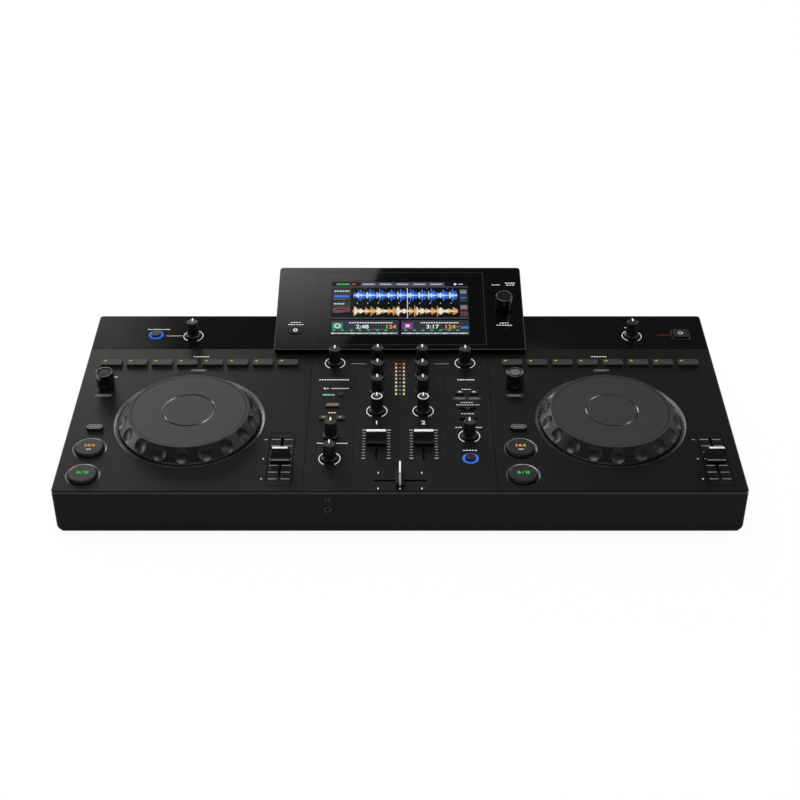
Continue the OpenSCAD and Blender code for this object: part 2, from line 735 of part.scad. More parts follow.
module tempo_fader(x) color("#191919") place() translate([x + tempo_dx, tempo_y, top]) {
    saddle_cap(tempo_cap_w, tempo_ridge_w, fader_cap_l, fader_cap_h);
    lever();
}

module channel_fader(x) color("#191919") place() translate([x, channel_y + channel_rest, top]) {
    saddle_cap(channel_cap_w, channel_cap_w - 0.6, fader_cap_l, fader_cap_h);
    lever();
}

module crossfader() color("#191919") place() translate([0, cross_y, top]) rotate(90) {
    saddle_cap(cross_cap_l, cross_cap_l - 1, cross_cap_w + 2*lift, cross_cap_h);
    lever();
}

// Slide switch knob in its pocket
module slide_switch(y) color("#262626") place() translate([outer_x, y, top]) rotate(90) {
    translate([0, 0, -fx_pocket_depth + hang]) linear_extrude(fx_knob[2]) rounded([fx_knob[1], fx_knob[0]], 0.8);
    z = board_drop + panel_t - fader_body_h + lever_in;
    translate([-lever_w/2, -lever_l/2, -z]) cube([lever_w, lever_l, z - fx_pocket_depth + 1]);
}

// Jog wheels

well_r = well_share*deck_w;
jog_r = well_r - jog_gap;
jog_top_r = jog_r - jog_run;
ring_groove_r = groove_share*jog_top_r;
dimple_d = dimple_share*PI*(jog_top_r + 1 + jog_r)/dimples;
slope_run = jog_run - 1;
jog_foot = 3.5;
bush_l = 10;
bush_wall = 5;
dish_t = 2;
jog_skin = 5;
plate_t = 2;
plate_in = 2.4;
rim_run = jog_gap - 0.7;
rim_drop = 0.6*rim_run;

// Well: a dish under the deck panel with a leaning rim and the bush for the spindle
module jog_well(x) translate([x, jog_y, top]) rotate_extrude()
    polygon([[spindle_r + fit, -well_depth - bush_l], [spindle_r + bush_wall, -well_depth - bush_l],
             [spindle_r + bush_wall, -well_depth - dish_t], [well_r + bush_wall, -well_depth - dish_t],
             [well_r + bush_wall, -panel_t], [well_r - 0.3, -panel_t],
             [well_r - 0.3, -0.3], [well_r - 0.5, -0.3], [well_r - rim_run, -rim_drop],
             [well_r - rim_run, -well_depth], [spindle_r + fit, -well_depth]]);

module jog_wells() color("#101010") place() for (x = side_x) jog_well(x);

module jog_dial() difference() {
    rotate_extrude() polygon([[spindle_r, -well_depth + 1.5], [spindle_r + bush_wall, -well_depth + 1.5],
                              [spindle_r + bush_wall, jog_h - jog_skin], [jog_top_r - 6, jog_h - jog_skin],
                              [jog_r - 5.5, -jog_foot], [jog_r, -jog_foot], [jog_r, 1],
                              [jog_top_r + 1, jog_h - 0.7], [jog_top_r + 0.3, jog_h],
                              [jog_top_r - plate_in + 0.1, jog_h], [jog_top_r - plate_in + 0.1, jog_h - plate_t],
                              [spindle_r, jog_h - plate_t]]);
    drop = jog_h - 1.7;
    run = [slope_run, -drop]/norm([slope_run, drop]);
    mid = [(jog_top_r + 1 + jog_r)/2, (jog_h + 0.3)/2];
    ball_r = (pow(dimple_d/2, 2) + pow(dimple_depth, 2))/(2*dimple_depth);
    centre = mid + (ball_r - dimple_depth)*[-run.y, run.x];
    for (i = [0:dimples - 1]) rotate((i + 0.5)*360/dimples) translate([centre.x, 0, centre.y]) sphere(ball_r);
}

module jog_wheel(x) place() translate([x, jog_y, top]) {
    color("#2f2f2f") jog_dial();
    color("#434343") translate([0, 0, jog_h - plate_t + glue]) difference() {
        rotate_extrude() polygon([[0, 0], [jog_top_r - plate_in, 0], [jog_top_r - plate_in, plate_t - 0.6],
                                  [jog_top_r - plate_in - 0.5, plate_t - 0.1], [0, plate_t - 0.1]]);
        translate([0, 0, plate_t - 0.1]) rotate_extrude()
            polygon([[ring_groove_r, -groove_w/2], [ring_groove_r + groove_w, groove_w/2],
                     [ring_groove_r - groove_w, groove_w/2]]);
    }
    color("#a7abb0") translate([0, 0, -well_depth - bush_l + 1])
        cylinder(r = spindle_r - glue, h = jog_h + well_depth + bush_l - 1 - plate_t);
}

// Buttons: a cap through the panel, a flange under it, a stem down to the switch

flange_out = 1.4;
flange_t = 1.2;
stem_r = 2.2;

module button_stem(at) {
    z = board_top + switch_h + press + 0.2;
    post(at, stem_r, z, under - hang - flange_t - z + 0.1);
}

module round_button(at, d, h, out = flange_out) {
    translate([at.x, at.y, 0]) rotate_extrude() polygon([[0, under - hang - 1], [d/2, under - hang - 1],
        [d/2, top + h - 0.8], [d/2 - 0.8, top + h], [0, top + h]]);
    post(at, d/2 + out, under - hang - flange_t, flange_t);
    button_stem(at);
}

module block_button(at, size, r, h) {
    rounded_block(at, size, r, under - hang - 0.5, panel_t + hang + 0.5 + h);
    rounded_block(at, size + 2*[flange_out, flange_out], r, under - hang - flange_t, flange_t);
    button_stem(at);
}

transport_h = 3;
play_flange = 2.2;
shift_h = 2.6;
small_h = 1.6;

module play_button(x) color("#2a2a2a") place()
    round_button([x + transport_dx, play_y], play_d, transport_h, play_flange);

module cue_button(x) color("#2a2a2a") place()
    round_button([x + transport_dx, cue_y], play_d, transport_h, play_flange);

module shift_button(x) color("#343434") place()
    block_button([x + transport_dx, shift_y], shift_size, shift_size.y/2, shift_h);

module pad_row(x) color("#3a3a3a") place()
    for (i = [0:pads - 1]) block_button([x + pad_x(i), pad_y], [pad_w, pad_d], 1, pad_h);

module phones_cue_buttons() color("#3a3530") place()
    for (b = PHONES_CUE) block_button(b, [b[2], b[3]], 0.8, small_h);

module beat_buttons() color("#333333") place() for (b = BEATS) block_button(b, [b[2], b[3]], 0.8, small_h);

module pairing_button() color("#333333") place() round_button(pair_at, pair_d, small_h);

ring_band = 2;

module fx_on_button() color("#1e1e1e") place()
    round_button([outer_x, fx_ring_y], light_ring_d - 2*ring_band - 2*button_gap, transport_h);

module mic_on_button() color("#1e1e1e") place()
    round_button([mic_ring_x, strip_mid], light_ring_d - 2*ring_band - 2*button_gap, transport_h);

module power_button() color("#242424") place()
    block_button([power_x, strip_mid], [power_face, power_face], 1.8, transport_h);

module display_buttons() color("#222224") place() on_display() for (b = DISPLAY_BUTTONS) {
    z = display_board_n + display_press + 0.2;
    rounded_block(b, [b[2], b[3]], b[3]/2, -glass_t - hang - 0.5, glass_t + hang + 0.5 + display_button_h);
    rounded_block(b, [b[2], b[3]] + 2*[0.8, 0.8], b[3]/2, -glass_t - hang - 1, 1);
    post(b, stem_r, z, -glass_t - hang - 0.5 - z);
}

// Light guides: the meter's fingers on one bar, the headphone lamp and the two light rings

module light_ring(at) translate([at.x, at.y, 0]) difference() {
    union() {
        translate([0, 0, under - 1.5]) cylinder(r = light_ring_d/2, h = panel_t + 2.3);
        translate([0, 0, under - 1.5]) cylinder(r = light_ring_d/2 + 1.5, h = 1.5);
    }
    translate([0, 0, under - 2]) cylinder(r = light_ring_d/2 - ring_band, h = panel_t + 4);
    translate([0, 0, under - 2]) cylinder(r = light_ring_d/2 - ring_band + flange_out, h = 2);
}

module light_guides() color("#5b7fd0") place() {
    translate([0, 0, under - 1.5]) {
        translate([-meter_x - 3, meter_y - 4, 0])
            cube([2*meter_x + 6, (meter_rows - 1)*meter_pitch + 8, 1.5]);
        for (i = [0:meter_rows - 1], x = [-1, 1])
            rounded_block([x*meter_x, meter_y + i*meter_pitch], meter_led, 0.4, 1, panel_t + 0.6);
    }
    rounded_block(phones_lamp, phones_lamp_size, 0.5, under - 1, panel_t + 1.1);
    rounded_block(phones_lamp, phones_lamp_size + [2, 2], 0.5, under - 1.5, 1.5);
    light_ring([outer_x, fx_ring_y]);
    light_ring([mic_ring_x, strip_mid]);
}

// Sockets

rca_out = 9;
rca_depth = 14;
rca_block = 12;
mic_block = 18;
dc_block = 13;
socket_l = 12;

module phones_jack() difference() {
    union() {
        translate([phones_x, 0, phones_z]) rotate([-90, 0, 0]) cylinder(r = phones_ring_r, h = wall + 1);
        translate([phones_x - phones_block/2, wall, phones_z - phones_block/2])
            cube([phones_block, phones_depth - 1, phones_block]);
    }
    translate([phones_x, -1, phones_z]) rotate([-90, 0, 0]) cylinder(r = phones_bore_r, h = phones_depth + 1);
}

module mic_jack() difference() {
    union() {
        rear_bore(mic_x, mic_barrel_r, case_d - rear_t - 2, rear_t + 3.5);
        rear_bore(mic_x, mic_barrel_r + 2.5, case_d, 1.5);
        translate([mic_x - mic_block/2, case_d - rear_t - mic_depth, socket_z - mic_block/2])
            cube([mic_block, mic_depth, mic_block]);
    }
    rear_bore(mic_x, mic_bore_r, case_d + 2 - mic_depth, mic_depth + 1);
}

module rca_jack(x) difference() {
    union() {
        rear_bore(x, rca_r, case_d - rear_t - 1, rear_t + 1 + rca_out);
        translate([x - rca_block/2, case_d - rear_t - socket_l, socket_z - rca_block/2])
            cube([rca_block, socket_l, rca_block]);
        rear_bore(x, rca_r + 1.6, case_d, 1.2);
    }
    rear_bore(x, 1.6, case_d + rca_out - rca_depth, rca_depth + 1);
}

module dc_inlet() {
    difference() {
        union() {
            rear_bore(dc_x, dc_r, case_d - rear_t - 1, rear_t + 1);
            translate([dc_x - dc_block/2, case_d - rear_t - socket_l, socket_z - dc_block/2])
                cube([dc_block, socket_l, dc_block]);
        }
        rear_bore(dc_x, 3.2, case_d - 10, 11);
    }
    rear_bore(dc_x, 1.05, case_d - 10.5, 9.5);
}

// Socket shell with a contact tongue
module usb_socket(x, shell, skin, tongue, tongue_lift, r) {
    difference() {
        union() {
            rear_block(x, shell, r, case_d - rear_t - socket_l, rear_t + socket_l + 0.3);
            rear_block(x, shell + [2, 2], r, case_d - rear_t - socket_l, socket_l);
        }
        rear_block(x, shell - 2*[skin, skin], max(r - skin, 0.3), case_d - 11, 12);
    }
    translate([0, 0, tongue_lift]) rear_block(x, tongue, 0.3, case_d - 11.5, 9.5);
}

module sockets() color("#9a9da1") place() {
    phones_jack();
    mic_jack();
    for (x = rca_x) rca_jack(x);
    dc_inlet();
    for (x = usb_x) usb_socket(x, usb_shell, 0.7, [11.1, 1.84], 1, 0.5);
    usb_socket(usb_c_x, usb_c_shell, 0.65, [6.7, 0.7], 0, 2);
}

base_tray();
upper_case();
rear_panel();
deck_panel_left();
deck_panel_right();
mixer_panel();
rear_gloss_panel();
display_housing();
display_glass();
lcd_panel();
rubber_feet();
case_screws();
circuit_boards();
potentiometers();
fader_units();
jog_wells();
sockets();
light_guides();
jog_wheel(side_x[0]);  // jog_wheel_left
jog_wheel(side_x[1]);  // jog_wheel_right
browse_encoder();
for (e = LOOPS) loop_encoder(e);
for (k = KNOBS) knob(k);
tempo_fader(side_x[0]);  // tempo_fader_left
tempo_fader(side_x[1]);  // tempo_fader_right
channel_fader(-channel_x);  // channel_fader_1
channel_fader(channel_x);  // channel_fader_2
crossfader();
play_button(side_x[0]);  // play_button_left
play_button(side_x[1]);  // play_button_right
cue_button(side_x[0]);  // cue_button_left
cue_button(side_x[1]);  // cue_button_right
shift_button(side_x[0]);  // shift_button_left
shift_button(side_x[1]);  // shift_button_right
pad_row(side_x[0]);  // pads_left
pad_row(side_x[1]);  // pads_right
phones_cue_buttons();
pairing_button();
beat_buttons();
fx_on_button();
mic_on_button();
power_button();
display_buttons();
slide_switch(fx_switch_y[0]);  // fx_select_switch
slide_switch(fx_switch_y[1]);  // fx_channel_switch
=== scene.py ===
# Looks of a table-top DJ system with two decks, a mixer and a tilted display.
# Lengths are in millimetres, except those of the studio and the camera, which are in metres.
import math

import bmesh
import bpy
from mathutils import Matrix, Vector


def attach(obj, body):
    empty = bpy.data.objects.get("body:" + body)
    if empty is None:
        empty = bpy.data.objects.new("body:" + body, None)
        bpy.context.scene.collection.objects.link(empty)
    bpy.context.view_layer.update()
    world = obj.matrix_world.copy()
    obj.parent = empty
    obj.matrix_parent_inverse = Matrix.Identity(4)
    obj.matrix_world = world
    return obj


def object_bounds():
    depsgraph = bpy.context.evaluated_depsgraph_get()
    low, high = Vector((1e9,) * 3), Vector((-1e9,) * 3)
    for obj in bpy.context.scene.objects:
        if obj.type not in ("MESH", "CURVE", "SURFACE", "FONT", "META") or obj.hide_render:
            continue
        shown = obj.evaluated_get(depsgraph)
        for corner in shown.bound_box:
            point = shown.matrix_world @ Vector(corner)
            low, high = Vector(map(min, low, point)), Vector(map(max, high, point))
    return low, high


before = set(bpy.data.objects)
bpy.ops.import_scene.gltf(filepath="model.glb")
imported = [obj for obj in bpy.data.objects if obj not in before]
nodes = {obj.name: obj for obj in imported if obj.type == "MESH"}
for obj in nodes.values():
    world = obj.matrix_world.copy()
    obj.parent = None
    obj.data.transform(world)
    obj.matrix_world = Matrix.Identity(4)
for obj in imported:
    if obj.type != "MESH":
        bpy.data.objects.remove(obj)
cad_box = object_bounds()

# Places shared with the part's source

MM = 0.001
DECK = 55
FRONT = cad_box[0][1]/MM
BACK = 298
# Display: its front edge, how far that stands over the deck, and its slope
DISPLAY_Y = 225
DISPLAY_LIP = 6
TILT = math.radians(10)
# Decks: the middle of each, and columns measured from that middle
DECK_X = 207.5
BUTTON_X = -91.4
TEMPO_X = 93.5
TEMPO_Y = 49.3
SCALE_Y = 18.9
JOG_Y = 110
PLAY_Y = 24.6
CUE_Y = 65
SHIFT_Y = 97
PADS = 8
PAD_PITCH = 26.1
# Mixer: columns to both sides of the middle, and rows from the front edge
CHANNEL_X = 23
OUTER_X = 67.4
CROSS_Y = 16.4
METER_Y = 154.5
METER_PITCH = 6.6
METER_ROWS = 9
KNOBS = {
    "trim_knob_1": (-OUTER_X, 209), "trim_knob_2": (OUTER_X, 209),
    "high_knob_1": (-CHANNEL_X, 211), "high_knob_2": (CHANNEL_X, 211),
    "mid_knob_1": (-CHANNEL_X, 184.3), "mid_knob_2": (CHANNEL_X, 184.3),
    "low_knob_1": (-CHANNEL_X, 157.4), "low_knob_2": (CHANNEL_X, 157.4),
    "filter_knob_1": (-CHANNEL_X, 125.7), "filter_knob_2": (CHANNEL_X, 125.7),
    "phones_mix_knob": (-OUTER_X, 85), "phones_level_knob": (-OUTER_X, 49.5),
    "fx_depth_knob": (OUTER_X, 84.7),
    "mic_level_knob": (-220, 259.5), "master_level_knob": (246.7, 259.5),
}
# Heights of tops over the deck
KNOB_TOP = 18.4
BUTTON_TOP = 3
SHIFT_TOP = 2.6
PAD_TOP = 2.5
SMALL_TOP = 1.6
JOG_TOP = 13
# A print sinks this far into the face that carries it
SINK = 0.01
# Jacks: the front one, and the phono pair at the back
JACK_X = -67.8
JACK_Z = 33
PHONO_Z = 27
SIDES = (("left", -DECK_X), ("right", DECK_X))


def flat(height=0):
    """Frame of a level surface this high over the deck: X from the middle, Y from the front edge."""
    return Matrix.Translation((0, FRONT*MM, (DECK + height)*MM))


def slope(height=0):
    """Frame of the display's face: X from the middle, Y up the slope from its front edge."""
    foot = Matrix.Translation((0, (FRONT + DISPLAY_Y)*MM, (DECK + DISPLAY_LIP)*MM))
    return foot @ Matrix.Rotation(TILT, 4, "X") @ Matrix.Translation((0, 0, height*MM))


def upright(y, turn=0):
    """Frame of an upright wall at this depth: X across, Y up from the table."""
    wall = Matrix.Translation((0, (FRONT + y)*MM, 0))
    return wall @ Matrix.Rotation(turn, 4, "Z") @ Matrix.Rotation(math.radians(90), 4, "X")


# Material helpers

# Lengths over which a tone drifts, and over which haze and ripple change
DRIFT = 60
RIPPLE = 25


def tone(code):
    """Linear colour of an sRGB hex value."""
    parts = [int(code[i:i + 2], 16)/255 for i in (1, 3, 5)]
    return tuple(c/12.92 if c <= 0.04045 else ((c + 0.055)/1.055)**2.4 for c in parts) + (1,)


def add(tree, kind, inputs=None, **settings):
    """Adds one node: settings are its own values, inputs are values or (node, output) links."""
    node = tree.nodes.new(kind)
    for key, value in settings.items():
        setattr(node, key, value)
    for socket, value in (inputs or {}).items():
        if isinstance(value, tuple) and isinstance(value[0], bpy.types.Node):
            tree.links.new(value[0].outputs[value[1]], node.inputs[socket])
        else:
            node.inputs[socket].default_value = value
    return node


def blank(name, colour, roughness, **sockets):
    """A named material with its even values set on the shader's own sockets."""
    material = bpy.data.materials.new(name)
    material.use_nodes = True
    shader = material.node_tree.nodes["Principled BSDF"]
    shader.inputs["Base Color"].default_value = tone(colour)
    shader.inputs["Roughness"].default_value = roughness
    for key, value in sockets.items():
        shader.inputs[key.replace("_", " ")].default_value = value
    return material, material.node_tree, shader


def textured(name, colour, other, roughness, grain, depth, **sockets):
    """Moulded surface: a fine grain in the mould, and a slow drift of the tone."""
    material, tree, shader = blank(name, colour, roughness, **sockets)
    place = add(tree, "ShaderNodeTexCoord")
    spot = (place, "Object")
    pores = add(tree, "ShaderNodeTexNoise", {"Vector": spot, "Scale": 1/(grain*MM), "Detail": 2.0})
    drift = add(tree, "ShaderNodeTexNoise", {"Vector": spot, "Scale": 1/(DRIFT*MM), "Detail": 1.0})
    mix = add(tree, "ShaderNodeMix", {0: (drift, "Fac"), 6: tone(colour), 7: tone(other)}, data_type="RGBA")
    tree.links.new(mix.outputs[2], shader.inputs["Base Color"])
    rough = add(tree, "ShaderNodeMapRange", {"Value": (pores, "Fac"), "From Min": 0.3, "From Max": 0.7,
                                             "To Min": roughness - 0.05, "To Max": roughness + 0.05})
    tree.links.new(rough.outputs["Result"], shader.inputs["Roughness"])
    bump = add(tree, "ShaderNodeBump", {"Height": (pores, "Fac"), "Strength": 1.0, "Distance": depth*MM})
    tree.links.new(bump.outputs["Normal"], shader.inputs["Normal"])
    return material


def polish_below(material, height, roughness, sheen):
    """Bevels round the openings come smooth out of the mould: they lie just under the panel's surface."""
    tree = material.node_tree
    shader = tree.nodes["Principled BSDF"]
    grained = shader.inputs["Roughness"].links[0].from_socket
    dull = shader.inputs["Specular IOR Level"].default_value
    place = add(tree, "ShaderNodeTexCoord")
    split = add(tree, "ShaderNodeSeparateXYZ", {"Vector": (place, "Object")})
    low = add(tree, "ShaderNodeMath", {0: (split, "Z"), 1: height*MM}, operation="LESS_THAN")
    smooth = add(tree, "ShaderNodeMix", {0: (low, "Value"), 3: roughness})
    tree.links.new(grained, smooth.inputs[2])
    tree.links.new(smooth.outputs[0], shader.inputs["Roughness"])
    clear = add(tree, "ShaderNodeMix", {0: (low, "Value"), 2: dull, 3: sheen})
    tree.links.new(clear.outputs[0], shader.inputs["Specular IOR Level"])


def hazed(name, colour, roughness, **sockets):
    """Smooth surface without a grain, only a slow change of its haze."""
    material, tree, shader = blank(name, colour, roughness, **sockets)
    place = add(tree, "ShaderNodeTexCoord")
    haze = add(tree, "ShaderNodeTexNoise", {"Vector": (place, "Object"), "Scale": 1/(RIPPLE*MM)})
    rough = add(tree, "ShaderNodeMapRange", {"Value": (haze, "Fac"), "To Min": roughness*0.9,
                                             "To Max": roughness*1.1})
    tree.links.new(rough.outputs["Result"], shader.inputs["Roughness"])
    return material


def lit(name, colour, strength):
    """Light that comes through a smooth window: an even glow under a glossy face."""
    return hazed(name, "#0d0d0d", 0.09, Emission_Color=tone(colour), Emission_Strength=strength,
                 Specular_IOR_Level=0.12)


# Materials

# ABS from a spark-eroded mould: a dull black skin with a fine even grain that catches a grey sheen.
# The true grain of about 0.2 mm can't show, so it is drawn at 1.2 mm.
deck_abs = textured("ABS_spark_eroded_deck", "#0c0c0c", "#0f0f0f", 0.4, 1.2, 0.05, Specular_IOR_Level=0.15)
case_abs = textured("ABS_spark_eroded_case", "#101010", "#131313", 0.65, 1.2, 0.06, Specular_IOR_Level=0.12)
polish_below(deck_abs, DECK - 0.05, 0.3, 0.35)
# The same plastic in a finer satin for the pieces that fingers touch
button_abs = textured("ABS_satin_button", "#1c1c1c", "#202020", 0.45, 1.0, 0.012, Specular_IOR_Level=0.3)
ring_abs = textured("ABS_smoke_ring_button", "#10182a", "#121b2f", 0.4, 1.0, 0.01, Specular_IOR_Level=0.3)
pad_abs = textured("silicone_moulded_pad", "#323230", "#363634", 0.6, 1.0, 0.015, Specular_IOR_Level=0.25)
fader_abs = textured("ABS_satin_fader_cap", "#0f0f0f", "#121212", 0.45, 1.0, 0.012, Specular_IOR_Level=0.25)
well_abs = textured("ABS_satin_well", "#0e0e0e", "#111111", 0.22, 1.2, 0.003, Specular_IOR_Level=0.9)
# Soft-touch lacquer over a moulded knob: deep grey with a broad, low sheen
knob_soft = textured("soft_touch_lacquer_knob", "#151515", "#191919", 0.36, 0.8, 0.006,
                     Specular_IOR_Level=0.5)
# The encoders' caps have a harder, glossier skin with small bright glints on the rim
encoder_abs = textured("ABS_polished_encoder_cap", "#141414", "#171717", 0.18, 0.8, 0.001,
                       Specular_IOR_Level=0.8)
# Nitrile rubber, pressed: black and fully dull
foot_rubber = textured("nitrile_rubber_pressed_foot", "#141414", "#181818", 0.8, 1.2, 0.05)
# Rolled steel sheet with black powder coat: fine orange peel
plate_paint = textured("powder_coated_steel_plate", "#1b1b1b", "#1e1e1e", 0.45, 1.8, 0.02)
# Glass-fibre laminate under green solder mask
board_mask = textured("glass_fibre_laminate_solder_mask", "#12452a", "#174d30", 0.4, 2.0, 0.02)


def polished(name, colour, roughness):
    """Polished black plastic or glass: a clear mirror over black, with a slow ripple in the face."""
    material, tree, shader = blank(name, colour, roughness, IOR=1.5)
    place = add(tree, "ShaderNodeTexCoord")
    ripple = add(tree, "ShaderNodeTexNoise", {"Vector": (place, "Object"), "Scale": 1/(RIPPLE*MM),
                                              "Detail": 1.0})
    bump = add(tree, "ShaderNodeBump", {"Height": (ripple, "Fac"), "Strength": 0.4, "Distance": 0.01*MM})
    tree.links.new(bump.outputs["Normal"], shader.inputs["Normal"])
    smear = add(tree, "ShaderNodeMapRange", {"Value": (ripple, "Fac"), "To Min": roughness*0.7,
                                             "To Max": roughness*1.3})
    tree.links.new(smear.outputs["Result"], shader.inputs["Roughness"])
    return material


# Acrylic strip, flame-polished, and the display's cover glass with a black print on its back
gloss_strip = polished("acrylic_polished_black", "#0a0a0a", 0.07)
cover_glass = polished("cover_glass_back_printed", "#080808", 0.05)


def plated(name, colour, roughness, line):
    """Plated or brushed metal with fine drawn lines along X."""
    material, tree, shader = blank(name, colour, roughness, Metallic=1.0)
    place = add(tree, "ShaderNodeTexCoord")
    stretch = add(tree, "ShaderNodeMapping", {"Vector": (place, "Object"), "Scale": (0.05, 1, 1)})
    lines = add(tree, "ShaderNodeTexNoise", {"Vector": (stretch, "Vector"), "Scale": 1/(line*MM),
                                             "Detail": 2.0})
    rough = add(tree, "ShaderNodeMapRange", {"Value": (lines, "Fac"), "To Min": roughness - 0.08,
                                             "To Max": roughness + 0.1})
    tree.links.new(rough.outputs["Result"], shader.inputs["Roughness"])
    bump = add(tree, "ShaderNodeBump", {"Height": (lines, "Fac"), "Strength": 0.5, "Distance": 0.01*MM})
    tree.links.new(bump.outputs["Normal"], shader.inputs["Normal"])
    return material


# Nickel on brass for the sockets, zinc on steel for the screws, stamped tinplate for the control bodies
nickel = plated("nickel_plated_brass", "#b8b6b0", 0.3, 0.6)
zinc = plated("zinc_plated_steel", "#a9adb2", 0.38, 0.8)
# Black chrome on the lips of the openings: it stays dark but for crescents where it mirrors a lamp
lip_chrome = hazed("black_chrome_satin_lip", "#8a8a8a", 0.28, Metallic=1.0)
tinplate = plated("tinplate_stamped", "#8f9296", 0.42, 1.0)


def inked(name, colour, sheen=0.5):
    """Pad-printed ink: an opaque, slightly chalky film."""
    material, tree, shader = blank(name, colour, 0.55, Specular_IOR_Level=sheen)
    place = add(tree, "ShaderNodeTexCoord")
    film = add(tree, "ShaderNodeTexNoise", {"Vector": (place, "Object"), "Scale": 1/(0.8*MM),
                                            "Detail": 2.0})
    mix = add(tree, "ShaderNodeMix", {0: (film, "Fac"), 6: tone(colour), 7: tone("#ffffff")},
              data_type="RGBA", blend_type="SOFT_LIGHT")
    tree.links.new(mix.outputs[2], shader.inputs["Base Color"])
    return material


ink_white = inked("pad_printed_ink_white", "#f0f0ee")
# Grey ink: print on the panels and buttons, and also the painted highlight on the tempo caps' front edges
grey_ink_and_highlight = inked("grey_ink_and_painted_highlight", "#9a9a98")
ink_dim = inked("pad_printed_ink_dim", "#363636")
# Dim grey ink: print on the display glass, and also painted highlight lines along the lit walls of engraved
# grooves
faint_ink_and_highlight = inked("faint_ink_and_painted_highlight", "#2a2a2a", 0.1)
# Painted highlight along the rims of the glass and the acrylic: a thin even grey line where their edges
# catch the light
rim_highlight = inked("painted_rim_highlight", "#343434", 0.3)
# Painted shade: a near-black film that stands for the shadow inside engraved grooves
painted_groove_shade = inked("engraved_groove_shadow", "#060606", 0.03)
amber = lit("amber_diode_window", "#d8a136", 0.9)
green = lit("green_diode_window", "#35c24a", 1.0)
red_enamel = textured("ABS_gloss_red_insulator", "#8f1f1c", "#98241f", 0.3, 1.0, 0.01)
white_abs = textured("ABS_gloss_white_insulator", "#cfcfca", "#d6d6d2", 0.3, 1.0, 0.01)


# Jog wheel: levels under its top where the plate and the groove's walls begin, and the groove's zone
PLATE_EDGE = 0.4
GROOVE_EDGE = 0.15
GROOVE_ZONE = 40


def jog_skin():
    """Moulded dial: a lighter dull disc on top, a darker satin skirt with finger dimples round it."""
    material, tree, shader = blank("ABS_moulded_jog_wheel", "#2a2a2a", 0.4, Specular_IOR_Level=0.5)
    place = add(tree, "ShaderNodeTexCoord")
    split = add(tree, "ShaderNodeSeparateXYZ", {"Vector": (place, "Object")})
    disc = add(tree, "ShaderNodeMath", {0: (split, "Z"), 1: (DECK + JOG_TOP - PLATE_EDGE)*MM},
               operation="GREATER_THAN")
    pores = add(tree, "ShaderNodeTexNoise", {"Vector": (place, "Object"), "Scale": 1/(1.4*MM),
                                             "Detail": 2.0})
    mix = add(tree, "ShaderNodeMix", {0: (disc, "Value"), 6: tone("#0e0e0e"), 7: tone("#1d1d1d")},
              data_type="RGBA")
    rough = add(tree, "ShaderNodeMapRange", {"Value": (disc, "Value"), "To Min": 0.38, "To Max": 0.62})
    # The ring groove in the top is lined with black chrome
    side = add(tree, "ShaderNodeMath", {0: (split, "X")}, operation="ABSOLUTE")
    across = add(tree, "ShaderNodeMath", {0: (side, "Value"), 1: DECK_X*MM}, operation="SUBTRACT")
    inner = add(tree, "ShaderNodeMath", {0: (across, "Value"), 1: 0.0, 2: GROOVE_ZONE*MM},
                operation="COMPARE")
    low = add(tree, "ShaderNodeMath", {0: (split, "Z"), 1: (DECK + JOG_TOP - GROOVE_EDGE)*MM},
              operation="LESS_THAN")
    front = add(tree, "ShaderNodeMath", {0: (split, "Y"), 1: (FRONT + JOG_Y)*MM, 2: GROOVE_ZONE*MM},
                operation="COMPARE")
    cut = add(tree, "ShaderNodeMath", {0: (inner, "Value"), 1: (front, "Value")}, operation="MULTIPLY")
    cut = add(tree, "ShaderNodeMath", {0: (cut, "Value"), 1: (low, "Value")}, operation="MULTIPLY")
    clear = add(tree, "ShaderNodeMix", {0: (cut, "Value"), 2: (rough, "Result"), 3: 0.24})
    tree.links.new(clear.outputs[0], shader.inputs["Roughness"])
    tree.links.new(cut.outputs["Value"], shader.inputs["Metallic"])
    skin = add(tree, "ShaderNodeMix", {0: (cut, "Value"), 6: (mix, 2), 7: tone("#7c7c7c")},
               data_type="RGBA")
    tree.links.new(skin.outputs[2], shader.inputs["Base Color"])
    bump = add(tree, "ShaderNodeBump", {"Height": (pores, "Fac"), "Strength": 1.0, "Distance": 0.015*MM})
    tree.links.new(bump.outputs["Normal"], shader.inputs["Normal"])
    return material


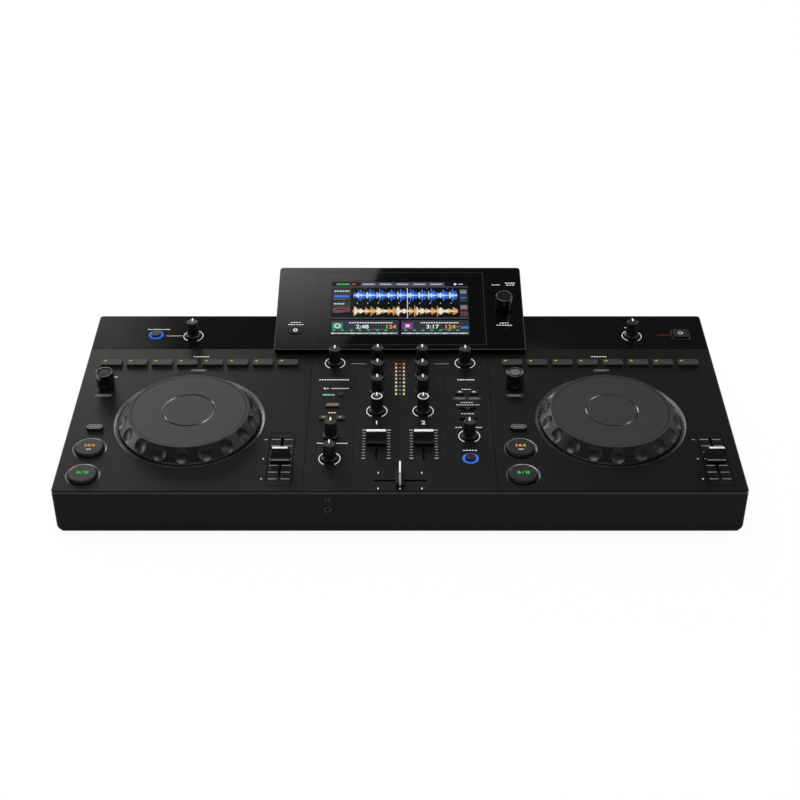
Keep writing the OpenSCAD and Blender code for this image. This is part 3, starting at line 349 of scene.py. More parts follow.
def guide_light():
    """Clear polycarbonate over diodes: blue rings, a green lamp and the rows of the level meter."""
    material, tree, shader = blank("polycarbonate_light_guide", "#101418", 0.2, Emission_Strength=1.0)
    place = add(tree, "ShaderNodeTexCoord")
    split = add(tree, "ShaderNodeSeparateXYZ", {"Vector": (place, "Object")})
    start = METER_Y - METER_PITCH/2
    row = add(tree, "ShaderNodeMapRange", {"Value": (split, "Y"), "From Min": (FRONT + start)*MM,
                                           "From Max": (FRONT + start + METER_ROWS*METER_PITCH)*MM})
    ramp = add(tree, "ShaderNodeValToRGB", {"Fac": (row, "Result")})
    ramp.color_ramp.interpolation = "CONSTANT"
    stops = ramp.color_ramp.elements
    stops[0].color = tone("#d2e27c")
    stops[1].position = 4/METER_ROWS
    stops[1].color = tone("#efbd72")
    stops.new(8/METER_ROWS).color = tone("#d97c62")
    # Only the middle of each meter window is lit
    pitch = add(tree, "ShaderNodeMath", {0: (row, "Result"), 1: METER_ROWS}, operation="MULTIPLY")
    part = add(tree, "ShaderNodeMath", {0: (pitch, "Value")}, operation="FRACT")
    along = add(tree, "ShaderNodeMath", {0: (part, "Value"), 1: 0.5, 2: 0.23}, operation="COMPARE")
    side = add(tree, "ShaderNodeMath", {0: (split, "X")}, operation="ABSOLUTE")
    wide = add(tree, "ShaderNodeMath", {0: (side, "Value"), 1: 4*MM, 2: 0.85*MM}, operation="COMPARE")
    middle = add(tree, "ShaderNodeMath", {0: (along, "Value"), 1: (wide, "Value")}, operation="MULTIPLY")
    meter = add(tree, "ShaderNodeMath", {0: (split, "X"), 1: 0.0, 2: 10*MM}, operation="COMPARE")
    lamp = add(tree, "ShaderNodeMath", {0: (split, "X"), 1: -74.2*MM, 2: 6*MM}, operation="COMPARE")
    first = add(tree, "ShaderNodeMix", {0: (lamp, "Value"), 6: tone("#2b63cf"), 7: tone("#3fc79a")},
                data_type="RGBA")
    both = add(tree, "ShaderNodeMix", {0: (meter, "Value"), 6: (first, 2), 7: (ramp, "Color")},
               data_type="RGBA")
    tree.links.new(both.outputs[2], shader.inputs["Emission Color"])
    rows = add(tree, "ShaderNodeMapRange", {"Value": (middle, "Value"), "To Min": 0.1, "To Max": 0.75})
    level = add(tree, "ShaderNodeMix", {0: (meter, "Value"), 2: 0.95, 3: (rows, "Result")})
    tree.links.new(level.outputs[0], shader.inputs["Emission Strength"])
    return material


jog_abs = jog_skin()
light_guide = guide_light()
screen_black = polished("liquid_crystal_panel_dark", "#05070a", 0.05)

finishes = {
    "base_tray": case_abs, "upper_case": case_abs, "rear_panel": plate_paint, "deck_panel_left": deck_abs,
    "deck_panel_right": deck_abs, "mixer_panel": deck_abs, "rear_gloss_panel": gloss_strip,
    "display_housing": gloss_strip, "display_glass": cover_glass, "lcd_panel": screen_black,
    "rubber_feet": foot_rubber, "case_screws": zinc, "circuit_boards": board_mask,
    "potentiometers": tinplate, "fader_units": tinplate, "jog_wells": well_abs, "sockets": nickel,
    "light_guides": light_guide,
    "jog_wheel_left": jog_abs, "jog_wheel_right": jog_abs, "pads_left": pad_abs, "pads_right": pad_abs,
    "phones_cue_buttons": pad_abs, "display_buttons": gloss_strip, "mic_on_button": ring_abs,
    "fx_on_button": ring_abs,
}
for name, piece in nodes.items():
    finish = finishes.get(name, button_abs)
    if "knob" in name:
        finish = knob_soft
    if "encoder" in name:
        finish = encoder_abs
    if "fader" in name and name != "fader_units":
        finish = fader_abs
    piece.data.materials.clear()
    piece.data.materials.append(finish)


# Shaping helpers

def fresh():
    """Deselects everything, so that an operator acts on the new piece alone."""
    bpy.ops.object.select_all(action="DESELECT")


def edit(mode="EDIT"):
    """Enters edit mode, or leaves it for the mode that is named."""
    bpy.ops.object.mode_set(mode=mode)


def settle(piece, name, place, material, body):
    """Puts a piece drawn round the origin into its place, inside its mesh, and ties it to its body."""
    piece.name = name
    piece.data.name = name
    piece.data.transform(place)
    piece.data.materials.clear()
    piece.data.materials.append(material)
    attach(piece, body)
    return piece


def twin(piece, name, place, material, body):
    """A copy with its own mesh, in another place."""
    other = piece.copy()
    other.data = piece.data.copy()
    bpy.context.collection.objects.link(other)
    return settle(other, name, place, material, body)


def draw_bar(x, y, wide, deep, turn=0):
    centre = (x*MM, y*MM, 0)
    bpy.ops.mesh.primitive_plane_add(size=1, location=centre)
    bpy.ops.transform.resize(value=(wide*MM, deep*MM, 1), center_override=centre)
    if turn:
        bpy.ops.transform.rotate(value=-math.radians(turn), orient_axis="Z", center_override=centre)


def draw_disc(x, y, radius, sides=24, turn=0):
    bpy.ops.mesh.primitive_circle_add(vertices=sides, radius=radius*MM, fill_type="NGON",
                                      location=(x*MM, y*MM, 0), rotation=(0, 0, math.radians(turn - 90)))


def draw_arc(x, y, radius, band, start, stop):
    """Part of a ring: a whole ring is drawn first, and the faces outside the two angles are deleted."""
    centre = Vector((x*MM, y*MM, 0))
    inner = (radius - band)/radius
    bpy.ops.mesh.select_all(action="SELECT")
    bpy.ops.mesh.hide()
    bpy.ops.mesh.primitive_circle_add(vertices=72, radius=radius*MM, location=centre)
    bpy.ops.mesh.extrude_edges_move()
    bpy.ops.transform.resize(value=(inner, inner, 1), center_override=centre)
    mesh = bmesh.from_edit_mesh(bpy.context.object.data)
    bpy.ops.mesh.select_all(action="DESELECT")
    bpy.ops.mesh.select_mode(type="FACE")
    for face in mesh.faces:
        arm = face.calc_center_median() - centre
        angle = math.degrees(math.atan2(arm.y, arm.x))
        if not face.hide and (angle - start) % 360 > stop - start:
            face.select = True
    bmesh.update_edit_mesh(bpy.context.object.data)
    bpy.ops.mesh.delete(type="FACE")
    bpy.ops.mesh.select_mode(type="VERT")
    bpy.ops.mesh.reveal(select=False)


def draw_pill(x, y, long, high, band):
    """Outline of a rounded label."""
    run = (long - high)/2
    draw_arc(x + run, y, high/2, band, -90, 90)
    draw_arc(x - run, y, high/2, band, 90, 270)
    for side in (-1, 1):
        draw_bar(x, y + side*(high - band)/2, long - high + 0.1, band)


DRAW = {"bar": draw_bar, "disc": draw_disc, "arc": draw_arc, "pill": draw_pill}


def printed(name, shapes, place, material, body="case", thick=0.05):
    """Flat shapes with a small thickness, such as a print, an inlay or a lit window."""
    fresh()
    bpy.ops.mesh.primitive_plane_add(size=1)
    piece = bpy.context.object
    edit()
    bpy.ops.mesh.delete(type="VERT")
    for shape in shapes:
        DRAW[shape[0]](*shape[1:])
    bpy.ops.mesh.select_all(action="SELECT")
    bpy.ops.mesh.extrude_region_move(TRANSFORM_OT_translate={"value": (0, 0, thick*MM)})
    bpy.ops.mesh.select_all(action="SELECT")
    bpy.ops.mesh.normals_make_consistent(inside=False)
    edit("OBJECT")
    return settle(piece, name, place, material, body)


def round_frame(x, y, wide, high, corner, band):
    """Frame with round corners."""
    run, rise = wide/2 - corner, high/2 - corner
    shapes = []
    for side in (-1, 1):
        shapes.append(("bar", x, y + side*(high - band)/2, 2*run, band))
        shapes.append(("bar", x + side*(wide - band)/2, y, band, 2*rise))
    for i, (across, up) in enumerate(((1, 1), (-1, 1), (-1, -1), (1, -1))):
        shapes.append(("arc", x + across*run, y + up*rise, corner, band, 90*i, 90*i + 90))
    return shapes


def dashes(x0, x1, y, high=1.0, dash=1.9, gap=0.8):
    """A row of short dashes that stands for a line of small lettering."""
    high *= 1.3
    count = max(1, round((x1 - x0 + gap)/(dash + gap)))
    step = (x1 - x0 + gap)/count
    return [("bar", x0 + step*(i + 0.5) - gap/2, y, step - gap, high) for i in range(count)]


def block(wide, deep, high, bevel):
    """Small block on the level z = 0 with its edges broken."""
    fresh()
    bpy.ops.mesh.primitive_cube_add(size=1)
    piece = bpy.context.object
    edit()
    bpy.ops.mesh.select_all(action="SELECT")
    bpy.ops.transform.translate(value=(0, 0, 0.5))
    bpy.ops.transform.resize(value=(wide*MM, deep*MM, high*MM), center_override=(0, 0, 0))
    bpy.ops.mesh.bevel(offset=bevel*MM, segments=2, affect="EDGES")
    edit("OBJECT")
    bpy.ops.object.shade_smooth_by_angle(angle=math.radians(40))
    return piece


# Trim rings: slope of their outer edge, sides, steps of the bend, wall and lift over the panel
LIP_START = 10
LIP_SIDES = 192
LIP_STEPS = 8
LIP_WALL = 0.15
LIP_LIFT = 0.1


def lip(name, x, y, radius, run, steep):
    """Trim ring of an opening: it lies on the panel's edge and bends down towards the middle."""
    first, last = math.radians(LIP_START), math.radians(steep)
    bend = run/(math.sin(last) - math.sin(first))
    fresh()
    bpy.ops.mesh.primitive_circle_add(vertices=LIP_SIDES, radius=radius*MM)
    piece = bpy.context.object
    edit()
    bpy.ops.mesh.select_all(action="SELECT")
    now, low = radius, 0
    for i in range(1, LIP_STEPS + 1):
        angle = first + (last - first)*i/LIP_STEPS
        then = radius - bend*(math.sin(angle) - math.sin(first))
        drop = bend*(math.cos(first) - math.cos(angle))
        bpy.ops.mesh.extrude_edges_move()
        bpy.ops.transform.resize(value=(then/now, then/now, 1), center_override=(0, 0, 0))
        bpy.ops.transform.translate(value=(0, 0, (low - drop)*MM))
        now, low = then, drop
    bpy.ops.mesh.select_all(action="SELECT")
    bpy.ops.mesh.normals_make_consistent(inside=False)
    edit("OBJECT")
    if piece.data.polygons[0].normal.z < 0:
        edit()
        bpy.ops.mesh.flip_normals()
        edit("OBJECT")
    shell = piece.modifiers.new("shell", "SOLIDIFY")
    shell.thickness = LIP_WALL*MM
    bpy.ops.object.modifier_apply(modifier="shell")
    bpy.ops.object.shade_smooth_by_angle(angle=math.radians(30))
    place = flat(LIP_LIFT) @ Matrix.Translation((x*MM, y*MM, 0))
    return settle(piece, name, place, lip_chrome, "case")


for side, x in SIDES:
    lip("well_lip_" + side, x, JOG_Y, 74.2, 4.4, 34)
    lip("play_lip_" + side, x + BUTTON_X, PLAY_Y, 16.5, 2.2, 38)
    lip("cue_lip_" + side, x + BUTTON_X, CUE_Y, 16.5, 2.2, 38)

# Print on the top panels, and painted shade and highlight lines for the engraved grooves

white = []
grey = []
# The next two lists hold no print: painted highlight lines along the lit walls of engraved grooves, and
# painted shade lines inside them
groove_highlight = []
dark = []


def knob_scale(name, band):
    """Two arcs round a knob, open at the front and at the rear."""
    x, y = KNOBS[name]
    return [("arc", x, y, 10.6, band, 122, 238), ("arc", x, y, 10.6, band, -58, 58)]


for name in ("trim_knob_1", "trim_knob_2", "filter_knob_1", "filter_knob_2", "phones_level_knob",
             "fx_depth_knob"):
    white += knob_scale(name, 0.9)
for side in (-1, 1):
    grey.append(("bar", side*43.1, 207.8, 15.4, 0.6))
    for row in range(11):
        y = 50.1 + row*4.43
        long = row in (0, 10)
        for edge in (-12.1, 12.1):
            (white if long else grey).append(("bar", side*CHANNEL_X + edge, y, 3.4 if long else 2.9, 0.75))
    white += [("bar", side*20.5, 28.1, 1.1, 2.4), ("bar", side*20.5, 4.9, 1.1, 2.4)]
    # Engraved corner round the headphone and the effect controls: painted shade, a near-black line for the
    # shadow in the groove, and a painted highlight, a thin paler line along its lit wall
    dark += [("bar", side*66.8, 186.8, 38, 0.6), ("bar", side*45.3, 110.6, 0.6, 146)]
    groove_highlight += [("bar", side*66.8, 186.3, 38, 0.25), ("bar", side*(45.3 - 0.45), 110.6, 0.25, 146)]
    dark.append(("arc", side*48.2, 183.7, 3.2, 0.6, 0 if side < 0 else 90, 90 if side < 0 else 180))
white.append(("bar", 0, 4.9, 1.1, 2.4))
for row in range(METER_ROWS):
    grey.append(("bar", 0, METER_Y + row*METER_PITCH, 2.2, 1.0))

for shift in (0, 2*DECK_X):
    for row in range(7):
        y = SCALE_Y + row*10.07
        ink = white if row == 3 else grey
        for edge in (-1, 1):
            ink.append(("bar", -114 + shift + edge*5.95, y, 8.5, 0.65))
    white += [("bar", -130.2 + shift, 79.1, 2.6, 0.6), ("disc", -130.6 + shift, TEMPO_Y, 0.8),
              ("disc", -130.5 + shift, SCALE_Y, 0.8)]
    white += dashes(-215.3 + shift, -199.5 + shift, 220.6)
    # Engraved frame round the tempo fader, drawn as painted shade: a near-black line
    dark += round_frame(-114 + shift, TEMPO_Y, 24.8, 81.8, 3.4, 0.8)
    grey.append(("pill", -207.4 + shift, 196, 15.6, 3, 0.3))
    grey += dashes(-212.4 + shift, -202.4 + shift, 196, 0.6, 1.2, 0.8)
    grey.append(("pill", -299.2 + shift, 151.9, 16, 3.1, 0.3))
    grey += dashes(-304.2 + shift, -294.2 + shift, 151.9, 0.6, 1.2, 0.8)
    white += [("disc", -290.4 + shift, 184, 1.1, 3, 0), ("bar", -292.2 + shift, 184, 1.6, 0.7)]

white += dashes(-82.6, -52.2, 179.1, 1.3)
white += [("disc", -76.2, 163.9, 1.6, 4, 0), ("disc", -73.2, 163.9, 1.2, 4, 0)]
white += dashes(-69.6, -51.8, 163.9, 0.9)
grey += [("bar", -68, 153, 4.4, 1.9)]
white += dashes(-71.3, -63.7, 122.8, 1.0)
white += dashes(-80.5, -73.5, 73.2, 1.0, 1.8, 0.7) + dashes(-61.6, -51, 73.2, 1.0, 1.8, 0.7)
white += dashes(58.7, 75.9, 179.1, 1.3)
white += dashes(62.6, 71.4, 162.4, 0.9)
grey += [("pill", 60.1, 147, 12.8, 3, 0.3), ("pill", 74.7, 147, 12.2, 3, 0.3)]
grey += dashes(56, 64.2, 147, 0.6, 1.2, 0.8) + dashes(71, 78.4, 147, 0.6, 1.2, 0.8)
white += dashes(61, 73.1, 139.9, 0.8) + dashes(56.4, 79.4, 135.9, 0.8)
white += dashes(60.8, 73.4, 121.1, 0.8)
white += dashes(54.4, 60.4, 98.7, 0.9, 1.8, 0.7) + dashes(74.4, 80.4, 98.7, 0.9, 1.8, 0.7)
white += dashes(60.4, 74.1, 62.3, 1.0)
printed("panel_print_white", white, flat(-SINK), ink_white)
printed("panel_print_grey", grey, flat(-SINK), grey_ink_and_highlight)
# Painted highlight lines on the engraved grooves' lit walls, then painted shade lines inside the grooves
printed("panel_groove_highlight", groove_highlight, flat(-SINK), faint_ink_and_highlight, thick=0.03)
printed("panel_engraved_groove_shade", dark, flat(-SINK), painted_groove_shade, thick=0.03)

# Print on the gloss strip
strip = dashes(-270.2, -246.6, 272, 0.9) + [("bar", -240.4, 259.6, 16.5, 0.5)]
strip += dashes(240.5, 253, 275.5, 0.9)
for name in ("mic_level_knob", "master_level_knob"):
    strip += knob_scale(name, 0.8)
printed("strip_print_white", strip, flat(-SINK), ink_white)
printed("strip_lamp", [("bar", 281.2, 261.2, 13.6, 1.3)], flat(-SINK),
        lit("red_diode_window", "#8a2a22", 0.5))


# Numbers of the two channels, drawn with the plain built-in letters

def number(name, words, size, place, material, body):
    fresh()
    bpy.ops.object.text_add()
    piece = bpy.context.object
    piece.data.body = words
    piece.data.size = size*MM
    piece.data.align_x = "CENTER"
    piece.data.align_y = "CENTER"
    piece.data.extrude = 0.03*MM
    piece.data.offset = 0.015*size*MM
    bpy.ops.object.convert(target="MESH")
    return settle(piece, name, place, material, body)


for words, x in (("1", -CHANNEL_X), ("2", CHANNEL_X)):
    place = flat(0.02) @ Matrix.Translation((x*MM, 106.3*MM, 0))
    number("channel_number_" + words, words, 8.6, place, ink_white, "case")

# Marks on the buttons

for side, x in SIDES:
    across = x + BUTTON_X
    face = flat(BUTTON_TOP - SINK)
    body = "play_button_" + side
    icon = [("disc", across - 3.9, 25, 2.6, 3), ("bar", across - 0.1, 25, 0.6, 5.4, -20),
            ("bar", across + 3, 25, 1.3, 4.4), ("bar", across + 5.1, 25, 1.3, 4.4)]
    printed("play_icon_" + side, icon, face, green, body)
    body = "cue_button_" + side
    icon = [("bar", across - 4, 66.4, 1.2, 4.4), ("disc", across - 0.6, 66.4, 2.5, 3, 180),
            ("disc", across + 3.6, 66.4, 2.5, 3, 180)]
    printed("cue_mark_" + side, icon, face, amber, body)
    pill = [("pill", across, 60.2, 4.6, 1.7, 0.4)]
    printed("cue_dash_" + side, pill, face, ink_white, body)
    body = "shift_button_" + side
    label = [("pill", across, SHIFT_Y, 14, 6.2, 0.35)]
    label += dashes(across - 4.6, across + 4.6, SHIFT_Y, 0.9, 1.5, 0.8)
    printed("shift_print_" + side, label, flat(SHIFT_TOP - SINK), grey_ink_and_highlight, body)
    dots = [("bar", x + (i - (PADS - 1)/2)*PAD_PITCH - 6.6, 209.9, 2.7, 1.9) for i in range(PADS)]
    printed("pad_lamps_" + side, dots, flat(PAD_TOP - SINK), amber, "pads_" + side)

face = flat(SMALL_TOP - SINK)
window = [("bar", -OUTER_X, 134.4, 11.4, 3.8)]
printed("master_cue_window", window, face, lit("amber_diode_dim", "#96703a", 0.55), "phones_cue_buttons")
printed("cue_lamps", [("bar", -75.6, 114.2, 2.0, 1.8), ("bar", -59.2, 114.2, 2.0, 1.8)], face, amber,
        "phones_cue_buttons")
arrows = [("disc", 60, 156, 1.5, 3, 180), ("bar", 61.4, 156, 1.4, 0.8),
          ("disc", 75, 156, 1.5, 3, 0), ("bar", 73.6, 156, 1.4, 0.8)]
printed("beat_arrows", arrows, face, ink_white, "beat_buttons")
power = [("arc", 298.5, 260.8, 2.6, 0.6, 120, 420), ("bar", 298.5, 262.9, 0.6, 2.6)]
printed("power_symbol", power, flat(BUTTON_TOP - SINK), ink_white, "power_button")
# Painted highlight round the power button's opening in the gloss strip
printed("power_frame_highlight", round_frame(298.5, 261, 19.3, 19.3, 2.9, 0.7), flat(0.8 - SINK), rim_highlight)

# Pointers, rings and strips of the knobs and faders

pointer = block(1.5, 5.4, 0.62, 0.1)
for name, (x, y) in KNOBS.items():
    tip = flat(KNOB_TOP - 0.4) @ Matrix.Translation((x*MM, (y + 3.1)*MM, 0))
    twin(pointer, "pointer_" + name, tip, ink_white, name)
bpy.data.objects.remove(pointer)

for name in ("filter_knob_1", "filter_knob_2"):
    x, y = KNOBS[name]
    printed("ring_" + name, [("arc", x, y, 5.5, 0.95, 110, 430)], flat(KNOB_TOP - SINK), ink_white, name)

ridge = block(18.8, 3.4, 0.9, 0.3)
for side, x in (("1", -CHANNEL_X), ("2", CHANNEL_X)):
    place = flat(12.75) @ Matrix.Translation((x*MM, 76.3*MM, 0))
    twin(ridge, "ridge_strip_" + side, place, ink_white, "channel_fader_" + side)
bpy.data.objects.remove(ridge)
ridge = block(14.4, 2.6, 0.3, 0.1)
# The grey strip at each tempo cap's front is a painted highlight: it stands for the light caught by the top
# edge of the cap's front step
foot = block(17.6, 1.1, 0.6, 0.1)
for side, x in SIDES:
    place = flat(13.29) @ Matrix.Translation(((x + TEMPO_X)*MM, TEMPO_Y*MM, 0))
    twin(ridge, "ridge_strip_" + side, place, ink_white, "tempo_fader_" + side)
    place = flat(3.6) @ Matrix.Translation(((x + TEMPO_X)*MM, (TEMPO_Y - 6.8)*MM, 0))
    twin(foot, "foot_edge_highlight_" + side, place, grey_ink_and_highlight, "tempo_fader_" + side)
bpy.data.objects.remove(ridge)
bpy.data.objects.remove(foot)
place = flat(16.39) @ Matrix.Translation((0, CROSS_Y*MM, 0))
settle(block(1.7, 17.6, 0.3, 0.1), "crossfader_strip", place, ink_white, "crossfader")
place = flat(2) @ Matrix.Translation((0, (CROSS_Y - 9.55)*MM, 0))
settle(block(1.7, 0.3, 14, 0.1), "crossfader_front_strip", place, ink_white, "crossfader")

# Front wall and socket side

head = [("arc", JACK_X, 44.6, 2.2, 0.45, -10, 190)]
head += [("bar", JACK_X + ear, 43.6, 0.9, 1.9) for ear in (-2, 2)]
printed("headphone_icon", head, upright(-0.03), ink_dim)
printed("headphone_jack_collar", [("arc", JACK_X, JACK_Z, 3.55, 1.7, 0, 360)], upright(-0.02), fader_abs,
        thick=0.12)
back = upright(BACK + 0.02, math.pi)
labels = []
for x, long in ((-230, 16), (-137, 26), (-100, 9), (149, 24), (250, 12)):
    labels += dashes(-x - long/2, -x + long/2, 41, 1.2)
printed("socket_labels", labels, back, ink_white)
for name, x, material in (("left", 140, white_abs), ("right", 158, red_enamel)):
    sleeve = [("arc", -x, PHONO_Z, 3.6, 1.8, 0, 360)]
    printed("phono_insulator_" + name, sleeve, upright(BACK + 9, math.pi), material,
            thick=0.3)
    collar = [("arc", -x, PHONO_Z, 5.6, 1.35, 0, 360)]
    printed("phono_collar_" + name, collar, upright(BACK + 1.2, math.pi), material,
            thick=0.4)

# Display: painted rim highlight, printed border, picture and its parts

# Painted highlight along the rim of the display glass
printed("glass_rim_highlight", round_frame(0, 64.5, 263.4, 128.8, 3.9, 0.6), slope(-SINK), rim_highlight,
        thick=0.03)
glass_marks = [("bar", 0, 121.1, 181, 0.5), ("bar", 0, 7.2, 181, 0.5), ("bar", -90.5, 64.1, 0.5, 113.6),
               ("bar", 90.5, 64.1, 0.5, 113.6)]
printed("glass_border_line", glass_marks, slope(-SINK), faint_ink_and_highlight, thick=0.03)
words = dashes(-118.8, -102.6, 37.9, 0.9) + dashes(-116.1, -105.3, 41.2, 0.9)
words += dashes(99.9, 108.4, 100.8, 0.9) + dashes(114.6, 125.4, 103.6, 0.9)
words += dashes(115.8, 124.2, 100.4, 0.9)
words += dashes(102.4, 118.8, 37, 0.9) + dashes(106, 115.4, 40.4, 0.9)
printed("glass_print_white", words, slope(-SINK), ink_white, thick=0.03)
printed("menu_button_mark", [("arc", -110.7, 28.9, 2.4, 1.1, 0, 360)], slope(0.8 - SINK), ink_white,
        "display_buttons")


# Thickness of one layer of the picture, the length of a beat and the size of the picture
LAYER = 0.02
BEAT = 11.2
PICTURE = (148.4, 85.5)


def lane(x):
    """How wide a strip of sound is at this place: a burst on each beat that dies away before the next."""
    beat = (x/BEAT) % 1
    return (1 - beat)**1.2*(0.7 + 0.3*math.sin(x*1.9)) + 0.22


def picture(name, shapes, colour, glow, layer):
    """One lit layer of the picture."""
    printed(name, shapes, slope(0.01 + LAYER*layer), lit("screen_light_" + name, colour, glow),
            thick=LAYER)


picture("screen_ground", [("bar", 0, 63.2, *PICTURE)], "#0b0d11", 0.8, 0)
boxes = [("bar", -63, 86, 20, 18), ("bar", -63, 66, 20, 18)]
boxes += [("bar", 68.6, 84, 9, 21), ("bar", 68.6, 59.6, 9, 21)]
boxes += [("bar", -37.2, 33.6, 72, 22), ("bar", 37.2, 33.6, 72, 22)]
picture("screen_boxes", boxes, "#34373c", 0.9, 1)
picture("screen_tabs", [("bar", -34 + i*18.4, 101.8, 17.4, 5.6) for i in range(5)], "#565a60", 0.9, 1)
bars = [-50 + i*0.9 for i in range(125)]
picture("wave_blue", [("bar", x, 84, 0.8, 19*lane(x)) for x in bars], "#2c6fd8", 1.0, 1)
picture("wave_pale", [("bar", x, 84, 0.8, 9*lane(x + 3)**2 + 0.6) for x in bars], "#cfe0ff", 1.0, 2)
swell = [("bar", x, 59, 0.8, 18*lane(x*1.9 + 4)*(0.4 + 0.6*((x/(2*BEAT)) % 1))) for x in bars]
picture("wave_amber", swell, "#d8a05a", 1.0, 1)
picture("wave_cream", [("bar", x, 59, 0.8, 10*lane(x*0.5 + 2)**2) for x in bars], "#f0ead8", 1.0, 2)
marks = [("bar", 8, 71.5, 0.7, 48)] + dashes(-71, -55, 90.6, 1.2) + dashes(-71, -60, 70.4, 1.2)
marks += [row for i in range(5) for row in dashes(-40 + i*18.4, -28.4 + i*18.4, 101.8, 1.0, 1.6, 0.6)]
marks += dashes(-54, -8, 40.8, 1.3) + dashes(22, 62, 40.8, 1.3)
marks += [("bar", -46 + i*BEAT, 71.5, 0.7, 1.6) for i in range(10)]
marks += [("disc", 60, 101.8, 1.6), ("bar", 66, 101.8, 5, 1)]
marks += [row for y in (91, 88, 66.6, 63.6) for row in dashes(65.4, 71.8, y, 0.7, 1.2, 0.5)]
marks += [("bar", -72 + i*1.9, 24.6, 1.5, 0.8 + 1.4*lane(i*3.1)) for i in range(37)]
marks += [("bar", 2.6 + i*1.9, 24.6, 1.5, 0.8 + 1.4*lane(i*2.3 + 5)) for i in range(37)]
picture("screen_marks", marks, "#dfe3e8", 1.0, 3)
lines = dashes(-71, -58, 77.6, 0.9) + dashes(-71, -62, 57.4, 0.9)
lines += dashes(-30, -16, 30.6, 0.8) + dashes(44, 58, 30.6, 0.8)
lines += [("bar", 0, 48, 148, 0.5), ("bar", 0, 97.4, 148, 0.5)]
picture("screen_grey", lines, "#7c828a", 0.9, 2)
cells = [("bar", start + i*9.2, 29.4, 2.8, 1.8) for start in (-70, 6) for i in range(7)]
picture("screen_green", cells + [("bar", -62, 101.8, 14, 2.2)], "#35c04a", 1.0, 2)
flags = [("bar", -50.6, 101.8, 4, 2.2), ("pill", -63, 61.4, 17, 5, 0.8), ("bar", 60, 34.6, 7, 1.4)]
flags += [("disc", -38 + i*2*BEAT, 95.2, 1, 3, 270) for i in range(5)]
flags.append(("pill", 68.6, 55, 7.6, 4, 0.6))
picture("screen_red", flags, "#c8442e", 1.0, 2)
picture("screen_blue", [("bar", -63, 82.4, 16, 3), ("bar", 68.6, 33.6, 8, 3.4), ("bar", 68.6, 80, 6, 1.6)],
        "#2f7be6", 1.0, 2)
picture("tile_teal", [("bar", -66.4, 36, 11, 10)], "#1f8a86", 1.0, 2)
picture("tile_plum", [("bar", 8, 36, 11, 10)], "#7a3f8c", 1.0, 2)
picture("tile_rings", [("arc", -66.4, 36, 3.6, 1.4, 0, 360), ("disc", 8, 36, 3, 4, 45)], "#e8d8b0", 1.0, 3)
for words, x, colour in (("2:48", -40, "#e8ecf2"), ("3:17", 34.4, "#e8ecf2"), ("124", -10, "#e0a24a"),
                         ("124", 53, "#e0a24a")):
    place = slope(0.1) @ Matrix.Translation((x*MM, 34.4*MM, 0))
    digits = lit("screen_digits_%d" % (x + 100), colour, 1.0)
    number("screen_number_%d" % (x + 100), words, 8, place, digits, "case")

# Studio: pale floor, pale surroundings, a dark ceiling with soft boxes

fresh()
bpy.ops.mesh.primitive_plane_add(size=14, location=(0, 0, 0))
floor = bpy.context.object
floor.name = "floor"
floor_paper = bpy.data.materials.new("floor_white_paper")
floor_paper.use_nodes = True
tree = floor_paper.node_tree
paper = tree.nodes["Principled BSDF"]
paper.inputs["Base Color"].default_value = tone("#e8e8e8")
paper.inputs["Roughness"].default_value = 0.9
path = add(tree, "ShaderNodeLightPath")
seen = add(tree, "ShaderNodeMath", {0: (path, "Is Camera Ray"), 1: (path, "Is Glossy Ray")},
           operation="MAXIMUM")
seen = add(tree, "ShaderNodeMath", {0: (seen, "Value"), 1: (path, "Is Transmission Ray")},
           operation="MAXIMUM")
share = add(tree, "ShaderNodeMath", {0: (seen, "Value"), 1: 0.92}, operation="MULTIPLY")
glow = add(tree, "ShaderNodeEmission", {"Color": (1, 1, 1, 1), "Strength": 1.03})
both = add(tree, "ShaderNodeMixShader", {0: (share, "Value"), 1: (paper, "BSDF"), 2: (glow, "Emission")})
tree.links.new(both.outputs["Shader"], tree.nodes["Material Output"].inputs["Surface"])
floor.data.materials.append(floor_paper)

world = bpy.data.worlds.new("studio")
bpy.context.scene.world = world
world.use_nodes = True
tree = world.node_tree
sky = tree.nodes["Background"]
look = add(tree, "ShaderNodeTexCoord")
split = add(tree, "ShaderNodeSeparateXYZ", {"Vector": (look, "Generated")})
height = add(tree, "ShaderNodeMapRange", {"Value": (split, "Z"), "From Min": 0.1, "From Max": 0.45,
                                          "To Min": 0.35, "To Max": 0.05})
path = add(tree, "ShaderNodeLightPath")
seen = add(tree, "ShaderNodeMath", {0: (path, "Is Camera Ray"), 1: (path, "Is Transmission Ray")},
           operation="MAXIMUM")
shade = add(tree, "ShaderNodeMath", {0: (height, "Result"), 1: (seen, "Value")}, operation="MAXIMUM")
tree.links.new(shade.outputs["Value"], sky.inputs["Color"])


def soft_box(name, place, aim, wide, high, power):
    """Rectangular lamp that looks at a point."""
    lamp = bpy.data.lights.new(name, "AREA")
    lamp.shape = "RECTANGLE"
    lamp.size = wide
    lamp.size_y = high
    lamp.energy = power
    piece = bpy.data.objects.new(name, lamp)
    bpy.context.collection.objects.link(piece)
    piece.location = place
    piece.rotation_euler = (Vector(aim) - Vector(place)).to_track_quat("-Z", "Y").to_euler()


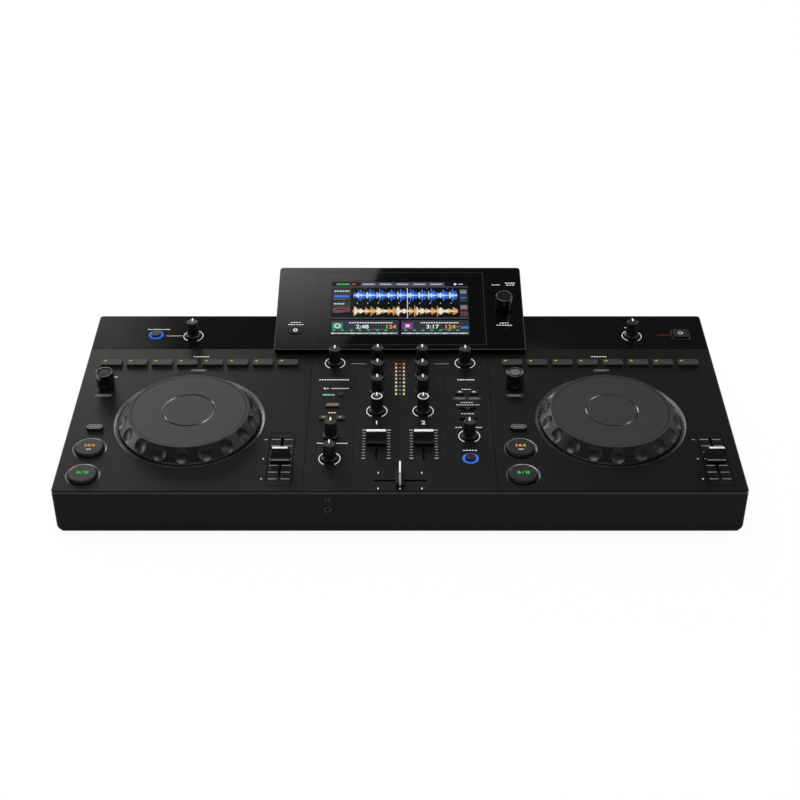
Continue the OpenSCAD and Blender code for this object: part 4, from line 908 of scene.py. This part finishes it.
soft_box("overhead", (-0.3, 0.1, 2.2), (-0.3, 0, 0.05), 1.8, 1.1, 34)
soft_box("rear_top", (-0.3, 0.9, 2.1), (-0.3, 0, 0.05), 1.4, 0.6, 1)
soft_box("side_left", (-0.85, 1.7, 0.6), (-0.85, 0, 0.3), 0.9, 0.62, 12)
soft_box("rear_slit", (0.1, 1.7, 1.36), (0.1, 0, 0.05), 0.6, 0.15, 1)
soft_box("side_right", (1.3, 1.8, 0.5), (0, 0, 0.2), 0.9, 0.8, 3)
soft_box("left_wall", (-1.6, 1.7, 0.48), (-0.6, 0, 0.2), 0.9, 0.7, 8)
soft_box("left_flank", (-1.9, 0.35, 0.42), (0, 0, 0.05), 1, 0.5, 6.5)
soft_box("right_flank", (1.7, -0.15, 1.45), (0, 0, 0.05), 0.8, 0.8, 4.5)


def card(name, corners, bright, rise, run):
    """Lit reflector hidden from the camera, mirrored in the part's gloss: it fades upwards and sideways."""
    fresh()
    bpy.ops.mesh.primitive_plane_add(size=1)
    piece = bpy.context.object
    piece.name = name
    for vertex, corner in zip(piece.data.vertices, corners):
        vertex.co = corner
    material = bpy.data.materials.new(name + "_fabric")
    material.use_nodes = True
    tree = material.node_tree
    place = add(tree, "ShaderNodeTexCoord")
    split = add(tree, "ShaderNodeSeparateXYZ", {"Vector": (place, "Object")})
    up = add(tree, "ShaderNodeMapRange", {"Value": (split, "Z"), "From Min": rise[0], "From Max": rise[1],
                                          "To Min": bright, "To Max": bright*rise[2]})
    across = add(tree, "ShaderNodeMapRange", {"Value": (split, "X"), "From Min": run[0], "From Max": run[1],
                                              "To Min": 1, "To Max": run[2]})
    level = add(tree, "ShaderNodeMath", {0: (up, "Result"), 1: (across, "Result")}, operation="MULTIPLY")
    glow = add(tree, "ShaderNodeEmission", {"Color": (1, 1, 1, 1), "Strength": (level, "Value")})
    tree.links.new(glow.outputs["Emission"], tree.nodes["Material Output"].inputs["Surface"])
    piece.data.materials.append(material)
    piece.visible_camera = False
    piece.visible_shadow = False


card("display_card", [(-0.9, 1.5, 1.66), (-0.025, 1.5, 1.66), (-0.9, 1.5, 2.2), (-0.19, 1.5, 2.2)], 1.75,
     (1.74, 2.08, 0.16), (-0.3, -0.05, 0.62))
card("strip_card", [(-2, 1.5, 0.7), (-0.24, 1.5, 0.7), (-2, 1.5, 1.4), (-0.78, 1.5, 1.4)], 0.62,
     (0.94, 1.06, 0.7), (-0.62, -0.48, 0.25))
# A long even strip on the right, low at the rear and high at the front, draws the arcs in the ring grooves
card("groove_card", [(1.6, 1.9, 0.15), (1.6, -1.1, 1.9), (1.6, 1.9, 0.6), (1.6, -1.1, 2.4)], 1.4,
     (0, 3, 1), (0, 3, 1))

# Camera at the photograph's place

view = bpy.data.cameras.new("camera")
view.sensor_width = 36
view.lens = 69.2
eye = bpy.data.objects.new("camera", view)
bpy.context.collection.objects.link(eye)
eye.location = (0, FRONT*MM - 1.1017, DECK*MM + 0.9135)
eye.rotation_euler = (math.radians(90 - 36.25), 0, 0)
scene = bpy.context.scene
scene.camera = eye
scene.view_settings.view_transform = "Standard"
